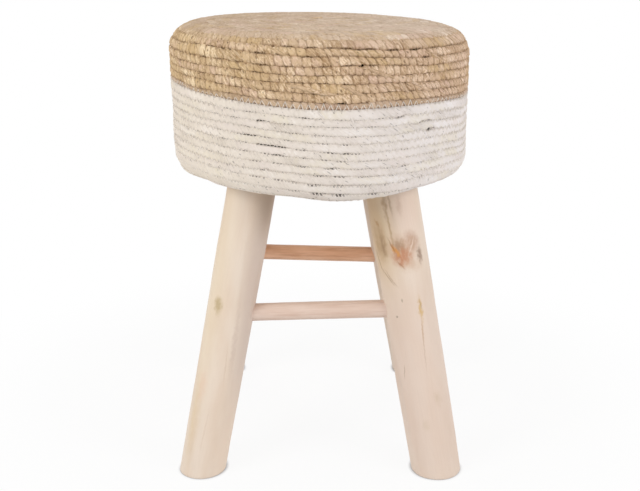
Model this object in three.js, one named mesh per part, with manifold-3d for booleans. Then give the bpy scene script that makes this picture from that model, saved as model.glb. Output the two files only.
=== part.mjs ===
// A round pouf stool: a foam drum covered in coiled husk rope, on four splayed log legs tied by four rungs.
// Millimetres, +Z up. The origin is on the floor under the middle of the seat, and the front faces -Y.
import * as THREE from "three";
import { mergeVertices } from "three/addons/utils/BufferGeometryUtils.js";
import Module from "manifold-3d";

const wasm = await Module();
wasm.setup();

// The seat's outer face, over the rope.
const SEAT_TOP = 450;
const SEAT_BOTTOM = 296;
const SEAT_RADIUS = 154;
const CROWN_RISE = 3;
const RIM_RADIUS = 28;
const TUCK_RADIUS = 20;

// The cover's rope: distance from turn to turn, the gap left between two turns, how far down from the top it is
// natural before it turns white, the start of the coil, and the radius from which a turn takes all its steps.
// Lengths of rope are joined at the back.
const ROPE_PITCH = 7.7;
const ROPE_GAP = 0.5;
const NATURAL_DEPTH = 66;
const EYE_RADIUS = 6.5;
const FINE_RADIUS = 75;
const REAR_TURN = 0.25;

// What the rope is laid on.
const LINING_THICKNESS = 1.2;
const LINING_HEM = 8;
const PLATE_THICKNESS = 15;

// Legs: half the spacing of the feet, the girth of a log, and the room between a log's head and the hem.
const FOOT_SPREAD = 121;
const LEG_DIAMETER = 50;
const LEG_TO_HEM = 4;
const FOOT_EASE = 2.5;

// Rungs: the side pair sits one step above the front and rear pair, so that their sockets miss each other.
const RUNG_DIAMETER = 18.2;
const RUNG_HEIGHT = 165;
const RUNG_STEP = 40;
const RUNG_RISE = 5;
const RUNG_CHAMFER = 1;
const SOCKET_DEPTH = 20;

// Countersunk wood screws, two down through the plate into each leg.
const SCREW_LENGTH = 60;
const SCREW_DIAMETER = 5;
const SCREW_HEAD_DIAMETER = 10;
const SCREW_TIP = 6;
const SCREW_SPACING = 22;

// Staples that hold the lining's hem up against the plate.
const STAPLE_COUNT = 12;
const STAPLE_WIDTH = 10;
const STAPLE_LEG = 9;
const STAPLE_WIRE = 0.7;
const STAPLE_TO_HEM_EDGE = 3;

// Clearance wherever two pieces seat on or in each other, and the overrun of every cutter.
const CLEARANCE = 0.3;
const OVERRUN = 2;

// Steps along each stretch of the seat's section and along a turn of rope, and faces round each kind of section.
const STRETCH_STEPS = { crown: 2, rim: 3, side: 1, tuck: 3 };
const LOOP_STEPS = 24;
const ROPE_SIDES = 6;
const TOP_ROPE_SIDES = 5;
const LOG_SIDES = 16;
const LOG_RINGS = 5;
const RUNG_SIDES = 14;
const SCREW_SIDES = 8;

// Each log grew its own way. A leg has the corner that it stands on, then shares: how far out its foot and head
// stand, its girth at the foot and at the head, and the turn of its irregular section.
const LEG_SHARES = {
  front_left: { corner: [-1, -1], footShare: 1.002, headShare: 0.95, girthShares: [0.95, 1], turnShare: 0.1 },
  front_right: { corner: [1, -1], footShare: 1.012, headShare: 1.024, girthShares: [1.02, 1.04], turnShare: 0.45 },
  rear_left: { corner: [-1, 1], footShare: 1.01, headShare: 1.01, girthShares: [0.97, 1], turnShare: 0.7 },
  rear_right: { corner: [1, 1], footShare: 0.985, headShare: 0.96, girthShares: [0.98, 1.01], turnShare: 0.25 },
};
const LOG_OVAL_SHARE = 0.018;
const LOG_LOBE_SHARE = 0.01;
const LOG_SWELL_SHARE = 0.008;
const LOG_SWELL_LENGTH = 170;
const LOG_WIDEST_SHARE = 1 + LOG_OVAL_SHARE + LOG_LOBE_SHARE + LOG_SWELL_SHARE;

// The rope lies with a flat side out, and its corners face the next turn.
const ROPE_RADIUS = (ROPE_PITCH - ROPE_GAP) / 2;
const ROPE_INSET = ROPE_RADIUS * Math.cos(Math.PI / ROPE_SIDES);
const LINING_INSET = ROPE_INSET + ROPE_RADIUS + CLEARANCE;
const CORE_INSET = LINING_INSET + LINING_THICKNESS + CLEARANCE;

const FLAT_RADIUS = SEAT_RADIUS - TUCK_RADIUS;
const PLATE_BOTTOM = SEAT_BOTTOM + CORE_INSET;
const PLATE_TOP = PLATE_BOTTOM + PLATE_THICKNESS;
const HEM_RADIUS = FLAT_RADIUS - LINING_HEM;

const LEG_TOP = PLATE_BOTTOM - CLEARANCE;
const LEG_RADIUS = LEG_DIAMETER / 2;
const HEAD_SPREAD = (HEM_RADIUS - LEG_TO_HEM - LEG_RADIUS * LOG_WIDEST_SHARE) / Math.SQRT2;
const RUNG_RADIUS = RUNG_DIAMETER / 2;

const NATURAL_HUSK = new THREE.MeshStandardMaterial({ color: 0xc9a87d, roughness: 0.85 });
const WHITE_HUSK = new THREE.MeshStandardMaterial({ color: 0xe6ddcf, roughness: 0.85 });
const DARK_CLOTH = new THREE.MeshStandardMaterial({ color: 0x2f2b28, roughness: 0.95 });
const FOAM = new THREE.MeshStandardMaterial({ color: 0xe9dfb8, roughness: 1 });
const PLYWOOD = new THREE.MeshStandardMaterial({ color: 0xcfae80, roughness: 0.75 });
const PALE_LOG = new THREE.MeshStandardMaterial({ color: 0xe6d2bb, roughness: 0.6 });
const PINK_DOWEL = new THREE.MeshStandardMaterial({ color: 0xd3a98b, roughness: 0.6 });
const STEEL = new THREE.MeshStandardMaterial({ color: 0xb9b9b4, roughness: 0.35, metalness: 1 });

const stool = new THREE.Group();

function add(name, geometry, material, parent = stool) {
  const mesh = new THREE.Mesh(geometry, material);
  mesh.name = name;
  parent.add(mesh);
  return mesh;
}

function solidOf(geometry) {
  const bare = new THREE.BufferGeometry();
  bare.setAttribute("position", geometry.getAttribute("position"));
  bare.setIndex(geometry.index);
  const merged = mergeVertices(bare);
  const vertProperties = new Float32Array(merged.getAttribute("position").array);
  const triVerts = new Uint32Array(merged.index.array);
  return new wasm.Manifold(new wasm.Mesh({ numProp: 3, vertProperties, triVerts }));
}

function geometryOf(solid) {
  const { vertProperties, triVerts } = solid.getMesh();
  const geometry = new THREE.BufferGeometry();
  geometry.setAttribute("position", new THREE.BufferAttribute(vertProperties, 3));
  geometry.setIndex(new THREE.BufferAttribute(triVerts, 1));
  geometry.computeVertexNormals();
  return geometry;
}

// A skin with flat ends over rings of equally many points, each running anticlockwise seen from the last ring.
function loft(rings) {
  const sides = rings[0].length;
  const last = (rings.length - 1) * sides;
  const index = [];
  for (let ring = 0; ring < last; ring += sides) {
    for (let i = 0; i < sides; i++) {
      const a = ring + i;
      const b = ring + ((i + 1) % sides);
      index.push(a, b, b + sides, a, b + sides, a + sides);
    }
  }
  for (let i = 1; i < sides - 1; i++) {
    index.push(0, i + 1, i, last, last + i, last + i + 1);
  }
  const geometry = new THREE.BufferGeometry().setFromPoints(rings.flat());
  geometry.setIndex(index);
  geometry.computeVertexNormals();
  return geometry;
}

// A section of [radius, height] points, listed from the top down, spun about the Z axis.
function spin(section, segments) {
  const points = section.map(([radius, height]) => new THREE.Vector2(radius, height));
  return new THREE.LatheGeometry(points.reverse(), segments).rotateX(Math.PI / 2);
}

// The seat's section, as stretches with a length and a point at each distance along it: over the crown,
// round the rim, down the side and round the tuck, all of them `inset` inside the outer face.
function seatStretches(inset) {
  const rim = RIM_RADIUS - inset;
  const tuck = TUCK_RADIUS - inset;
  const crownRadius = SEAT_RADIUS - RIM_RADIUS;
  const rimHeight = SEAT_TOP - CROWN_RISE - RIM_RADIUS;
  const tuckHeight = SEAT_BOTTOM + TUCK_RADIUS;
  const quarter = Math.PI / 2;
  return {
    crown: {
      length: crownRadius,
      at: (d) => [d, SEAT_TOP - inset - CROWN_RISE * (d / crownRadius) ** 2],
    },
    rim: {
      length: rim * quarter,
      at: (d) => [crownRadius + rim * Math.sin(d / rim), rimHeight + rim * Math.cos(d / rim)],
    },
    side: {
      length: rimHeight - tuckHeight,
      at: (d) => [SEAT_RADIUS - inset, rimHeight - d],
    },
    tuck: {
      length: tuck * quarter,
      at: (d) => [FLAT_RADIUS + tuck * Math.cos(d / tuck), tuckHeight - tuck * Math.sin(d / tuck)],
    },
  };
}

// Points along one stretch in equal parts, without its first point.
function divide(stretch, parts) {
  return Array.from({ length: parts }, (_, i) => stretch.at((stretch.length * (i + 1)) / parts));
}

function seatSection(inset, names) {
  const stretches = seatStretches(inset);
  const points = names.flatMap((name) => divide(stretches[name], STRETCH_STEPS[name]));
  return [stretches[names[0]].at(0), ...points];
}

const ropeStretches = seatStretches(ROPE_INSET);
const ropeOrder = Object.values(ropeStretches);

function sectionPoint(distance) {
  let rest = distance;
  for (const stretch of ropeOrder) {
    if (rest <= stretch.length || stretch === ropeOrder.at(-1)) return stretch.at(rest);
    rest -= stretch.length;
  }
}

function ropeMiddle(turns, shift = 0) {
  const [radius, height] = sectionPoint(EYE_RADIUS + turns * ROPE_PITCH + shift);
  const angle = turns * Math.PI * 2;
  return new THREE.Vector3(radius * Math.cos(angle), radius * Math.sin(angle), height);
}

// The rope's middle after so many turns, the way that it runs there, and the way from turn to turn.
function ropeStation(turns) {
  const shift = ROPE_GAP / 2;
  const ahead = turns + shift / SEAT_RADIUS;
  const behind = turns - shift / SEAT_RADIUS;
  return {
    middle: ropeMiddle(turns),
    forwards: ropeMiddle(ahead).sub(ropeMiddle(behind)).normalize(),
    down: ropeMiddle(turns, shift).sub(ropeMiddle(turns, -shift)).normalize(),
  };
}

// Turns from the eye of the coil to a distance along the section, up to where the coil next passes the back.
function turnsTo(distance) {
  return Math.round((distance - EYE_RADIUS) / ROPE_PITCH - REAR_TURN) + REAR_TURN;
}

const crownTurns = turnsTo(ropeStretches.crown.length);
const sideTop = ropeStretches.side.at(0)[1];
const sideStart = ropeStretches.crown.length + ropeStretches.rim.length;
const changeDistance = sideStart + sideTop - (SEAT_TOP - NATURAL_DEPTH);
const changeTurns = turnsTo(changeDistance);
const wholeDistance = ropeOrder.reduce((sum, stretch) => sum + stretch.length, 0);
const wholeTurns = turnsTo(wholeDistance);

// Turns at each ring of a rope, LOOP_STEPS to a turn and half as many near the eye.
// Both ends are drawn back, so that two ropes meet end to end across the clearance.
function ropeStations(fromTurns, toTurns) {
  const first = Math.round(fromTurns * LOOP_STEPS);
  const last = Math.round(toTurns * LOOP_STEPS);
  const stations = [];
  for (let step = first; step <= last; step++) {
    const turns = step / LOOP_STEPS;
    const isCoarse = ropeMiddle(turns).setZ(0).length() < FINE_RADIUS;
    if (!isCoarse || (step - first) % 2 === 0 || step === last) stations.push(turns);
  }
  const drawback = (turns) => CLEARANCE / 2 / (ropeMiddle(turns).setZ(0).length() * 2 * Math.PI);
  stations[0] += drawback(stations[0]);
  stations[stations.length - 1] -= drawback(stations.at(-1));
  return stations;
}

// A ring of the rope's section, which has a flat side out and is square to the way the rope runs.
function ropeRing(turns, sides) {
  const { middle, forwards, down } = ropeStation(turns);
  const out = down.cross(forwards).normalize();
  const across = forwards.clone().cross(out);
  return Array.from({ length: sides }, (_, k) => {
    const angle = ((k + 0.5) * 2 * Math.PI) / sides;
    return middle
      .clone()
      .addScaledVector(out, ROPE_RADIUS * Math.cos(angle))
      .addScaledVector(across, ROPE_RADIUS * Math.sin(angle));
  });
}

// The least distance between points on the rope's surface that lie about one turn apart along it.
function leastGap(stations, rings) {
  const samples = 4;
  const points = [];
  for (let i = 0; i + 1 < rings.length; i++) {
    for (let s = 0; s < samples; s++) {
      const share = s / samples;
      const turns = THREE.MathUtils.lerp(stations[i], stations[i + 1], share);
      points.push({ turns, at: rings[i].map((p, k) => p.clone().lerp(rings[i + 1][k], share)) });
    }
  }
  let least = Infinity;
  points.forEach((one, i) => {
    for (const other of points.slice(i + 1)) {
      const apart = other.turns - one.turns;
      if (apart < 0.5 || apart > 1.5) continue;
      for (const p of one.at) {
        for (const q of other.at) least = Math.min(least, p.distanceTo(q));
      }
    }
  });
  return least;
}

// One unbroken length of rope.
function addRope(name, fromTurns, toTurns, sides, material) {
  const stations = ropeStations(fromTurns, toTurns);
  const rings = stations.map((turns) => ropeRing(turns, sides));
  add(name, loft(rings), material);
  const loops = (toTurns - fromTurns).toFixed(2);
  console.log(`${name}: ${loops} loops, least gap to itself ${leastGap(stations, rings).toFixed(2)} mm`);
}

function addCover() {
  addRope("natural_rope_top", 0, crownTurns, TOP_ROPE_SIDES, NATURAL_HUSK);
  addRope("natural_rope_side", crownTurns, changeTurns, ROPE_SIDES, NATURAL_HUSK);
  addRope("white_rope_side", changeTurns, wholeTurns, ROPE_SIDES, WHITE_HUSK);
}

// The legs' middle lines, from the floor to the plate.
function legPoint(name, height) {
  const { corner, footShare, headShare } = LEG_SHARES[name];
  const footAt = new THREE.Vector3(corner[0] * footShare * FOOT_SPREAD, corner[1] * FOOT_SPREAD, 0);
  const headAt = new THREE.Vector3(corner[0] * headShare * HEAD_SPREAD, corner[1] * HEAD_SPREAD, LEG_TOP);
  return footAt.lerp(headAt, height / LEG_TOP);
}

// A log's outline at one height. The log leans, so a level cut is longer the way that it leans.
function logRing(name, height, shrink) {
  const { girthShares, turnShare } = LEG_SHARES[name];
  const girthShare = THREE.MathUtils.lerp(...girthShares, height / LEG_TOP);
  const middle = legPoint(name, height);
  const lean = legPoint(name, LEG_TOP).sub(legPoint(name, 0));
  const leanAngle = Math.atan2(lean.y, lean.x);
  const stretch = lean.length() / LEG_TOP;
  const swell = LOG_SWELL_SHARE * Math.sin((height / LOG_SWELL_LENGTH + turnShare) * 2 * Math.PI);
  return Array.from({ length: LOG_SIDES }, (_, i) => {
    const angle = (i * 2 * Math.PI) / LOG_SIDES;
    const oval = LOG_OVAL_SHARE * Math.cos(2 * (angle + turnShare * Math.PI));
    const lobe = LOG_LOBE_SHARE * Math.cos(3 * angle + turnShare * 2 * Math.PI);
    const radius = LEG_RADIUS * girthShare * (1 + oval + lobe + swell) - shrink;
    const withLean = radius * Math.cos(angle - leanAngle) * stretch;
    const acrossLean = radius * Math.sin(angle - leanAngle);
    return new THREE.Vector3(
      middle.x + withLean * Math.cos(leanAngle) - acrossLean * Math.sin(leanAngle),
      middle.y + withLean * Math.sin(leanAngle) + acrossLean * Math.cos(leanAngle),
      height,
    );
  });
}

function logSolid(name) {
  const rings = [logRing(name, 0, FOOT_EASE), logRing(name, FOOT_EASE, 0)];
  for (let i = 1; i <= LOG_RINGS; i++) {
    rings.push(logRing(name, FOOT_EASE + ((LEG_TOP - FOOT_EASE) * i) / LOG_RINGS, 0));
  }
  return solidOf(loft(rings));
}

// Each rung runs from one leg's middle line towards the other's, and stops at the bottom of its sockets.
const RUNGS = {
  front_rung: { from: "front_left", to: "front_right", height: RUNG_HEIGHT, rise: RUNG_RISE },
  rear_rung: { from: "rear_left", to: "rear_right", height: RUNG_HEIGHT, rise: -RUNG_RISE },
  left_rung: { from: "front_left", to: "rear_left", height: RUNG_HEIGHT + RUNG_STEP, rise: 0 },
  right_rung: { from: "front_right", to: "rear_right", height: RUNG_HEIGHT + RUNG_STEP, rise: 0 },
};

function rungLine({ from, to, height, rise }) {
  const start = legPoint(from, height - rise / 2);
  const end = legPoint(to, height + rise / 2);
  const direction = end.clone().sub(start).normalize();
  const length = start.distanceTo(end) - 2 * (LEG_RADIUS - SOCKET_DEPTH);
  return { middle: start.lerp(end, 0.5), direction, length };
}

// A dowel about the Z axis with chamfered ends, grown all over by `grow`.
function dowel(length, grow = 0) {
  const radius = RUNG_RADIUS + grow;
  const end = length / 2 + grow;
  const section = [
    [0, end],
    [radius - RUNG_CHAMFER, end],
    [radius, end - RUNG_CHAMFER],
    [radius, RUNG_CHAMFER - end],
    [radius - RUNG_CHAMFER, -end],
    [0, -end],
  ];
  return spin(section, RUNG_SIDES);
}

const UP = new THREE.Vector3(0, 0, 1);

function rungPlacement({ middle, direction }) {
  const turn = new THREE.Quaternion().setFromUnitVectors(UP, direction);
  return new THREE.Matrix4().compose(middle, turn, new THREE.Vector3(1, 1, 1));
}

function addRungs() {
  for (const [name, rung] of Object.entries(RUNGS)) {
    const line = rungLine(rung);
    const mesh = add(name, dowel(line.length), PINK_DOWEL);
    mesh.position.copy(line.middle);
    mesh.quaternion.setFromUnitVectors(UP, line.direction);
  }
}

// A countersunk screw about the Z axis, its head's face at zero.
function screw() {
  const shank = SCREW_DIAMETER / 2;
  const head = SCREW_HEAD_DIAMETER / 2;
  const section = [
    [0, 0],
    [head, 0],
    [shank, shank - head],
    [shank, SCREW_TIP - SCREW_LENGTH],
    [0, -SCREW_LENGTH],
  ];
  return spin(section, SCREW_SIDES);
}

// The screw's hole, whose countersink opens above the head's face.
function screwHole(place) {
  const shank = SCREW_DIAMETER / 2 + CLEARANCE;
  const head = SCREW_HEAD_DIAMETER / 2 + CLEARANCE;
  const section = [
    [0, OVERRUN],
    [head + OVERRUN, OVERRUN],
    [shank, shank - head],
    [shank, -SCREW_LENGTH - CLEARANCE],
    [0, -SCREW_LENGTH - CLEARANCE],
  ];
  return solidOf(spin(section, SCREW_SIDES).translate(place.x, place.y, place.z));
}

// The two screws of a leg stand side by side across the way that the leg leans.
function screwPlaces(name) {
  const head = legPoint(name, LEG_TOP);
  const sideways = new THREE.Vector3(-head.y, head.x, 0).normalize();
  return [-1, 1].map((side) => {
    const place = head.clone().addScaledVector(sideways, (side * SCREW_SPACING) / 2);
    return place.setZ(PLATE_TOP);
  });
}

function addLegsAndScrews() {
  for (const name of Object.keys(LEG_SHARES)) {
    let log = logSolid(name);
    for (const rung of Object.values(RUNGS)) {
      if (rung.from !== name && rung.to !== name) continue;
      const line = rungLine(rung);
      log = log.subtract(solidOf(dowel(line.length, CLEARANCE).applyMatrix4(rungPlacement(line))));
    }
    screwPlaces(name).forEach((place, i) => {
      log = log.subtract(screwHole(place));
      add(`${name}_screw_${i + 1}`, screw(), STEEL).position.copy(place);
    });
    add(`${name}_leg`, geometryOf(log), PALE_LOG);
  }
}

// A staple standing on its crown at zero, with its two legs up, grown all over by `grow`.
function staple(grow = 0) {
  const outer = STAPLE_WIDTH / 2 + grow;
  const inner = STAPLE_WIDTH / 2 - STAPLE_WIRE - grow;
  const depth = STAPLE_WIRE + 2 * grow;
  const outline = new THREE.Shape();
  outline.moveTo(-outer, -grow);
  outline.lineTo(outer, -grow);
  outline.lineTo(outer, STAPLE_LEG + grow);
  outline.lineTo(inner, STAPLE_LEG + grow);
  outline.lineTo(inner, STAPLE_WIRE + grow);
  outline.lineTo(-inner, STAPLE_WIRE + grow);
  outline.lineTo(-inner, STAPLE_LEG + grow);
  outline.lineTo(-outer, STAPLE_LEG + grow);
  const bar = new THREE.ExtrudeGeometry(outline, { depth, bevelEnabled: false });
  return bar.translate(0, 0, -depth / 2).rotateX(Math.PI / 2);
}

const STAPLE_HEIGHT = SEAT_BOTTOM + LINING_INSET - CLEARANCE - STAPLE_WIRE;
const STAPLE_RADIUS = HEM_RADIUS + STAPLE_TO_HEM_EDGE;

function stapleAngle(i) {
  return ((i + 0.5) * 2 * Math.PI) / STAPLE_COUNT;
}

// Staples lie along the hem, so each is turned a quarter from the way out.
function staplePlacement(i) {
  const place = new THREE.Vector3(STAPLE_RADIUS, 0, STAPLE_HEIGHT).applyAxisAngle(UP, stapleAngle(i));
  const turn = new THREE.Quaternion().setFromAxisAngle(UP, stapleAngle(i) + Math.PI / 2);
  return new THREE.Matrix4().compose(place, turn, new THREE.Vector3(1, 1, 1));
}

function addStaples() {
  for (let i = 0; i < STAPLE_COUNT; i++) {
    const mesh = add(`hem_staple_${String(i + 1).padStart(2, "0")}`, staple(), STEEL);
    mesh.applyMatrix4(staplePlacement(i));
  }
}

function withoutStaples(solid) {
  for (let i = 0; i < STAPLE_COUNT; i++) {
    solid = solid.subtract(solidOf(staple(CLEARANCE).applyMatrix4(staplePlacement(i))));
  }
  return solid;
}

// The lining is a cloth cup over the foam, down its side and in under the plate, where its hem is stapled.
function addLining() {
  const names = ["crown", "rim", "side", "tuck"];
  const outer = seatSection(LINING_INSET, names);
  const inner = seatSection(LINING_INSET + LINING_THICKNESS, names);
  const hem = [
    [HEM_RADIUS, outer.at(-1)[1]],
    [HEM_RADIUS, inner.at(-1)[1]],
  ];
  const cup = solidOf(spin([...outer, ...hem, ...inner.reverse()], LOOP_STEPS));
  add("lining", geometryOf(withoutStaples(cup)), DARK_CLOTH);
}

// The foam drum stands on the plate.
function addFoam() {
  const section = seatSection(CORE_INSET, ["crown", "rim"]);
  const bottom = PLATE_TOP + CLEARANCE;
  section.push([SEAT_RADIUS - CORE_INSET, bottom], [0, bottom]);
  add("foam_pad", spin(section, LOOP_STEPS), FOAM);
}

// The plate is a disc with its lower edge rounded over, drilled and countersunk for the legs' screws.
function addPlate() {
  const edge = seatSection(CORE_INSET, ["tuck"]);
  const section = [[0, PLATE_TOP], [SEAT_RADIUS - CORE_INSET, PLATE_TOP], ...edge, [0, PLATE_BOTTOM]];
  let plate = withoutStaples(solidOf(spin(section, LOOP_STEPS)));
  for (const name of Object.keys(LEG_SHARES)) {
    for (const place of screwPlaces(name)) {
      plate = plate.subtract(screwHole(place));
    }
  }
  add("seat_plate", geometryOf(plate), PLYWOOD);
}

addLegsAndScrews();
addRungs();
addPlate();
addFoam();
addLining();
addStaples();
addCover();

export default stool;
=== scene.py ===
import math

import bpy
import numpy as np
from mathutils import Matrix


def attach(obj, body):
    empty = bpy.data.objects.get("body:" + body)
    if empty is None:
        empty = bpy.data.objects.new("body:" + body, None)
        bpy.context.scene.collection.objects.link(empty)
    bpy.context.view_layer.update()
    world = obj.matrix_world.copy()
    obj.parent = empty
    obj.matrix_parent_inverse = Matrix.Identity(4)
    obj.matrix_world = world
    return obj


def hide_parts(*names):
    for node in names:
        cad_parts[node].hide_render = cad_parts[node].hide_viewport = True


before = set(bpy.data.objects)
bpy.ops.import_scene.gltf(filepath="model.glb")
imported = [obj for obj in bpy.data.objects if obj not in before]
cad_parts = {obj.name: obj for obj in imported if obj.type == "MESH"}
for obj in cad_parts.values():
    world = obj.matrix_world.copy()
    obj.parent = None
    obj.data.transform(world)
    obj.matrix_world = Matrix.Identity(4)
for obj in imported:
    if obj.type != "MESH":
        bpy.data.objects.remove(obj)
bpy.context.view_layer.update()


# The four legs are peeled logs about 50 mm thick, splayed both ways and sawn
# level at foot and head. A knife has taken the bark off, which leaves flats,
# grain and knots. Each stands under the seat plate and is screwed from above.
LOG_RADIUS = 0.025
LEG_TOP = 0.30422
LOG_LENGTH = LEG_TOP * 1.03
LOG_SIDES = 72
LOG_LEVELS = 110
ARRIS = 0.0008
END_MARGIN = 0.003
FLAT_RUNOUT = 0.03
# For each leg, where its foot and its head stand, and how thick each is
# against the usual log.
LEGS = {
    "front_left_leg": ((-0.12124, -0.1210), (-0.06455, -0.06795), (0.95, 1.0)),
    "front_right_leg": ((0.12245, -0.1210), (0.06958, -0.06795), (1.02, 1.04)),
    "rear_left_leg": ((-0.12221, 0.1210), (-0.06863, 0.06795), (0.97, 1.0)),
    "rear_right_leg": ((0.11919, 0.1210), (0.06523, 0.06795), (0.98, 1.01)),
}
# A flat is cut at an angle round the log, in degrees from the front, from one
# height to another, and takes off some depth.
FLATS = {
    "front_left_leg": [(-70, 0.03, 0.16, 0.0007), (35, 0.16, 0.27, 0.0006), (150, 0.05, 0.25, 0.0009)],
    "front_right_leg": [
        (-56, 0.222, 0.286, 0.0019), (-20, 0.18, 0.33, 0.0005), (48, 0.10, 0.21, 0.0008),
        (-75, 0.02, 0.15, 0.0008)],
    "rear_left_leg": [(20, 0.05, 0.20, 0.0009), (-110, 0.12, 0.28, 0.0012)],
    "rear_right_leg": [(-30, 0.02, 0.12, 0.0009), (120, 0.10, 0.26, 0.0012)],
}
# A boss is the swelling where a branch grew: round, up, and its size.
BOSSES = {
    "front_left_leg": [(-30, 0.178, 0.010, 0.0004), (160, 0.12, 0.012, 0.0009)],
    "front_right_leg": [(5, 0.236, 0.012, 0.0010), (-13, 0.232, 0.008, 0.0006), (30, 0.243, 0.010, 0.0007)],
    "rear_left_leg": [(10, 0.20, 0.012, 0.0010), (-140, 0.09, 0.011, 0.0008)],
    "rear_right_leg": [(-40, 0.15, 0.012, 0.0010), (100, 0.22, 0.012, 0.0009)],
}


def log_axes(name):
    """The foot's middle, and the ways across, back and up along the log."""
    foot, head, _ = LEGS[name]
    foot, head = np.array([*foot, 0.0]), np.array([*head, LEG_TOP])
    up = (head - foot) / np.linalg.norm(head - foot)
    across = np.array([1.0, 0.0, 0.0]) - up * up[0]
    across /= np.linalg.norm(across)
    return foot, across, np.cross(up, across), up


def log_surface(name, around, height, seed):
    """The log's radius at an angle from the front and a height along it."""
    chance = np.random.default_rng(seed)
    foot_girth, head_girth = LEGS[name][2]
    share = height / LOG_LENGTH
    radius = LOG_RADIUS * (foot_girth + (head_girth - foot_girth) * share)
    for waves, depth in ((2, 0.018), (3, 0.007), (5, 0.0035), (8, 0.002)):
        start, twist = chance.uniform(0, 2 * np.pi, 2)
        radius = radius * (1 + depth * np.cos(waves * around + start + 2 * np.sin(9 * height + twist)))
    for length, depth in ((0.19, 0.006), (0.083, 0.003), (0.031, 0.0016)):
        start, twist = chance.uniform(0, 2 * np.pi, 2)
        radius = radius * (1 + depth * np.sin(2 * np.pi * height / length + start + np.sin(around + twist)))
    for angle, low, high, depth in FLATS[name]:
        turned = np.angle(np.exp(1j * (around - math.radians(angle))))
        ends = np.clip(np.minimum(height - low, high - height) / FLAT_RUNOUT, 0, 1)
        face = (LOG_RADIUS * foot_girth - depth) / np.maximum(np.cos(turned), 0.3)
        cut = np.minimum(radius, face)
        radius = radius + (cut - radius) * ends * ends * (3 - 2 * ends)
    for angle, middle, size, depth in BOSSES[name]:
        turned = np.angle(np.exp(1j * (around - math.radians(angle)))) * LOG_RADIUS
        away = np.hypot(turned, (height - middle) * 0.6) / size
        radius = radius + depth * np.exp(-2 * away**2)
    return radius


def keep(mesh, **kept):
    """Keeps numbers or vectors on a mesh's points, for its finish or form to read."""
    for name, values in kept.items():
        values = np.ascontiguousarray(values, np.float32)
        kind, field = ("FLOAT_VECTOR", "vector") if values.ndim == 2 else ("FLOAT", "value")
        mesh.attributes.new(name, kind, "POINT").data.foreach_set(field, values.ravel())


def stand(name, data):
    """Stands a new object in the scene."""
    thing = bpy.data.objects.new(name, data)
    bpy.context.scene.collection.objects.link(thing)
    return thing


def log_mesh(name, seed):
    """A closed skin of level rings, with its place in the log kept on each point."""
    foot, across, back, up = log_axes(name)
    rounded = [ARRIS, ARRIS * 0.3, 0]
    bark = np.linspace(END_MARGIN, LEG_TOP - END_MARGIN, LOG_LEVELS)
    levels = np.concatenate([rounded[::-1], bark, [LEG_TOP - arris for arris in rounded]])
    worn = np.concatenate([rounded, np.zeros(LOG_LEVELS), rounded[::-1]])
    around = np.linspace(-np.pi, np.pi, LOG_SIDES, endpoint=False) + np.pi
    around = np.sort(np.angle(np.exp(1j * around)))
    points, inside = [], []
    for level, arris in zip(levels, worn):
        height = np.full(LOG_SIDES, level / up[2])
        for _ in range(3):
            radius = log_surface(name, around, height, seed) - arris
            x, y = radius * np.sin(around), -radius * np.cos(around)
            height = (level - x * across[2] - y * back[2]) / up[2]
        points.append(foot + x[:, None] * across + y[:, None] * back + height[:, None] * up)
        inside.append(np.stack([x, y, height], 1))
    ends = [foot, foot + up * (LEG_TOP / up[2])]
    points = np.concatenate([*points, np.array(ends)])
    inside = np.concatenate([*inside, [[0, 0, 0], [0, 0, LEG_TOP / up[2]]]])
    rings = len(levels)
    faces, places = [], []
    last = (rings - 1) * LOG_SIDES
    for ring in range(0, last, LOG_SIDES):
        for side in range(LOG_SIDES):
            after = (side + 1) % LOG_SIDES
            faces.append((ring + side, ring + after, ring + LOG_SIDES + after, ring + LOG_SIDES + side))
            places.append((side, side + 1, side + 1, side))
    bark_faces = len(faces)
    for side in range(LOG_SIDES):
        after = (side + 1) % LOG_SIDES
        faces.append((rings * LOG_SIDES, after, side))
        faces.append((rings * LOG_SIDES + 1, last + side, last + after))
    mesh = bpy.data.meshes.new(name)
    mesh.from_pydata(points.tolist(), [], faces)
    keep(mesh, in_log=inside)
    arcs = np.append(around, around[0] + 2 * np.pi) * LOG_RADIUS
    layer = mesh.uv_layers.new(name="UVMap")
    for face in mesh.polygons:
        for corner, loop in enumerate(face.loop_indices):
            point = mesh.loops[loop].vertex_index
            if face.index < bark_faces:
                layer.data[loop].uv = (arcs[places[face.index][corner]], inside[point][2])
            else:
                layer.data[loop].uv = (inside[point][0], inside[point][1])
    is_bark = np.arange(len(faces)) < bark_faces
    mesh.polygons.foreach_set("material_index", (~is_bark).astype(np.int32))
    mesh.polygons.foreach_set("use_smooth", is_bark)
    mesh.update()
    return stand(name.replace("_leg", "_log"), mesh)


def paint(red, green, blue):
    """A colour in the 0 to 255 of a paint card, as the shader wants it."""
    linear = [c / 3294.6 if c <= 10.31 else ((c / 255 + 0.055) / 1.055) ** 2.4 for c in (red, green, blue)]
    return (*linear, 1.0)


class Wire:
    """What one node hands on to the next. Sums are written with it as with a number."""

    def __init__(self, socket):
        self.socket = socket

    def __add__(self, other):
        return reckon("ADD", self, other)

    def __sub__(self, other):
        return reckon("SUBTRACT", self, other)

    def __rsub__(self, other):
        return reckon("SUBTRACT", other, self)

    def __mul__(self, other):
        return reckon("MULTIPLY", self, other)

    def __truediv__(self, other):
        return reckon("DIVIDE", self, other)

    def __abs__(self):
        return reckon("ABSOLUTE", self)


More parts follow.
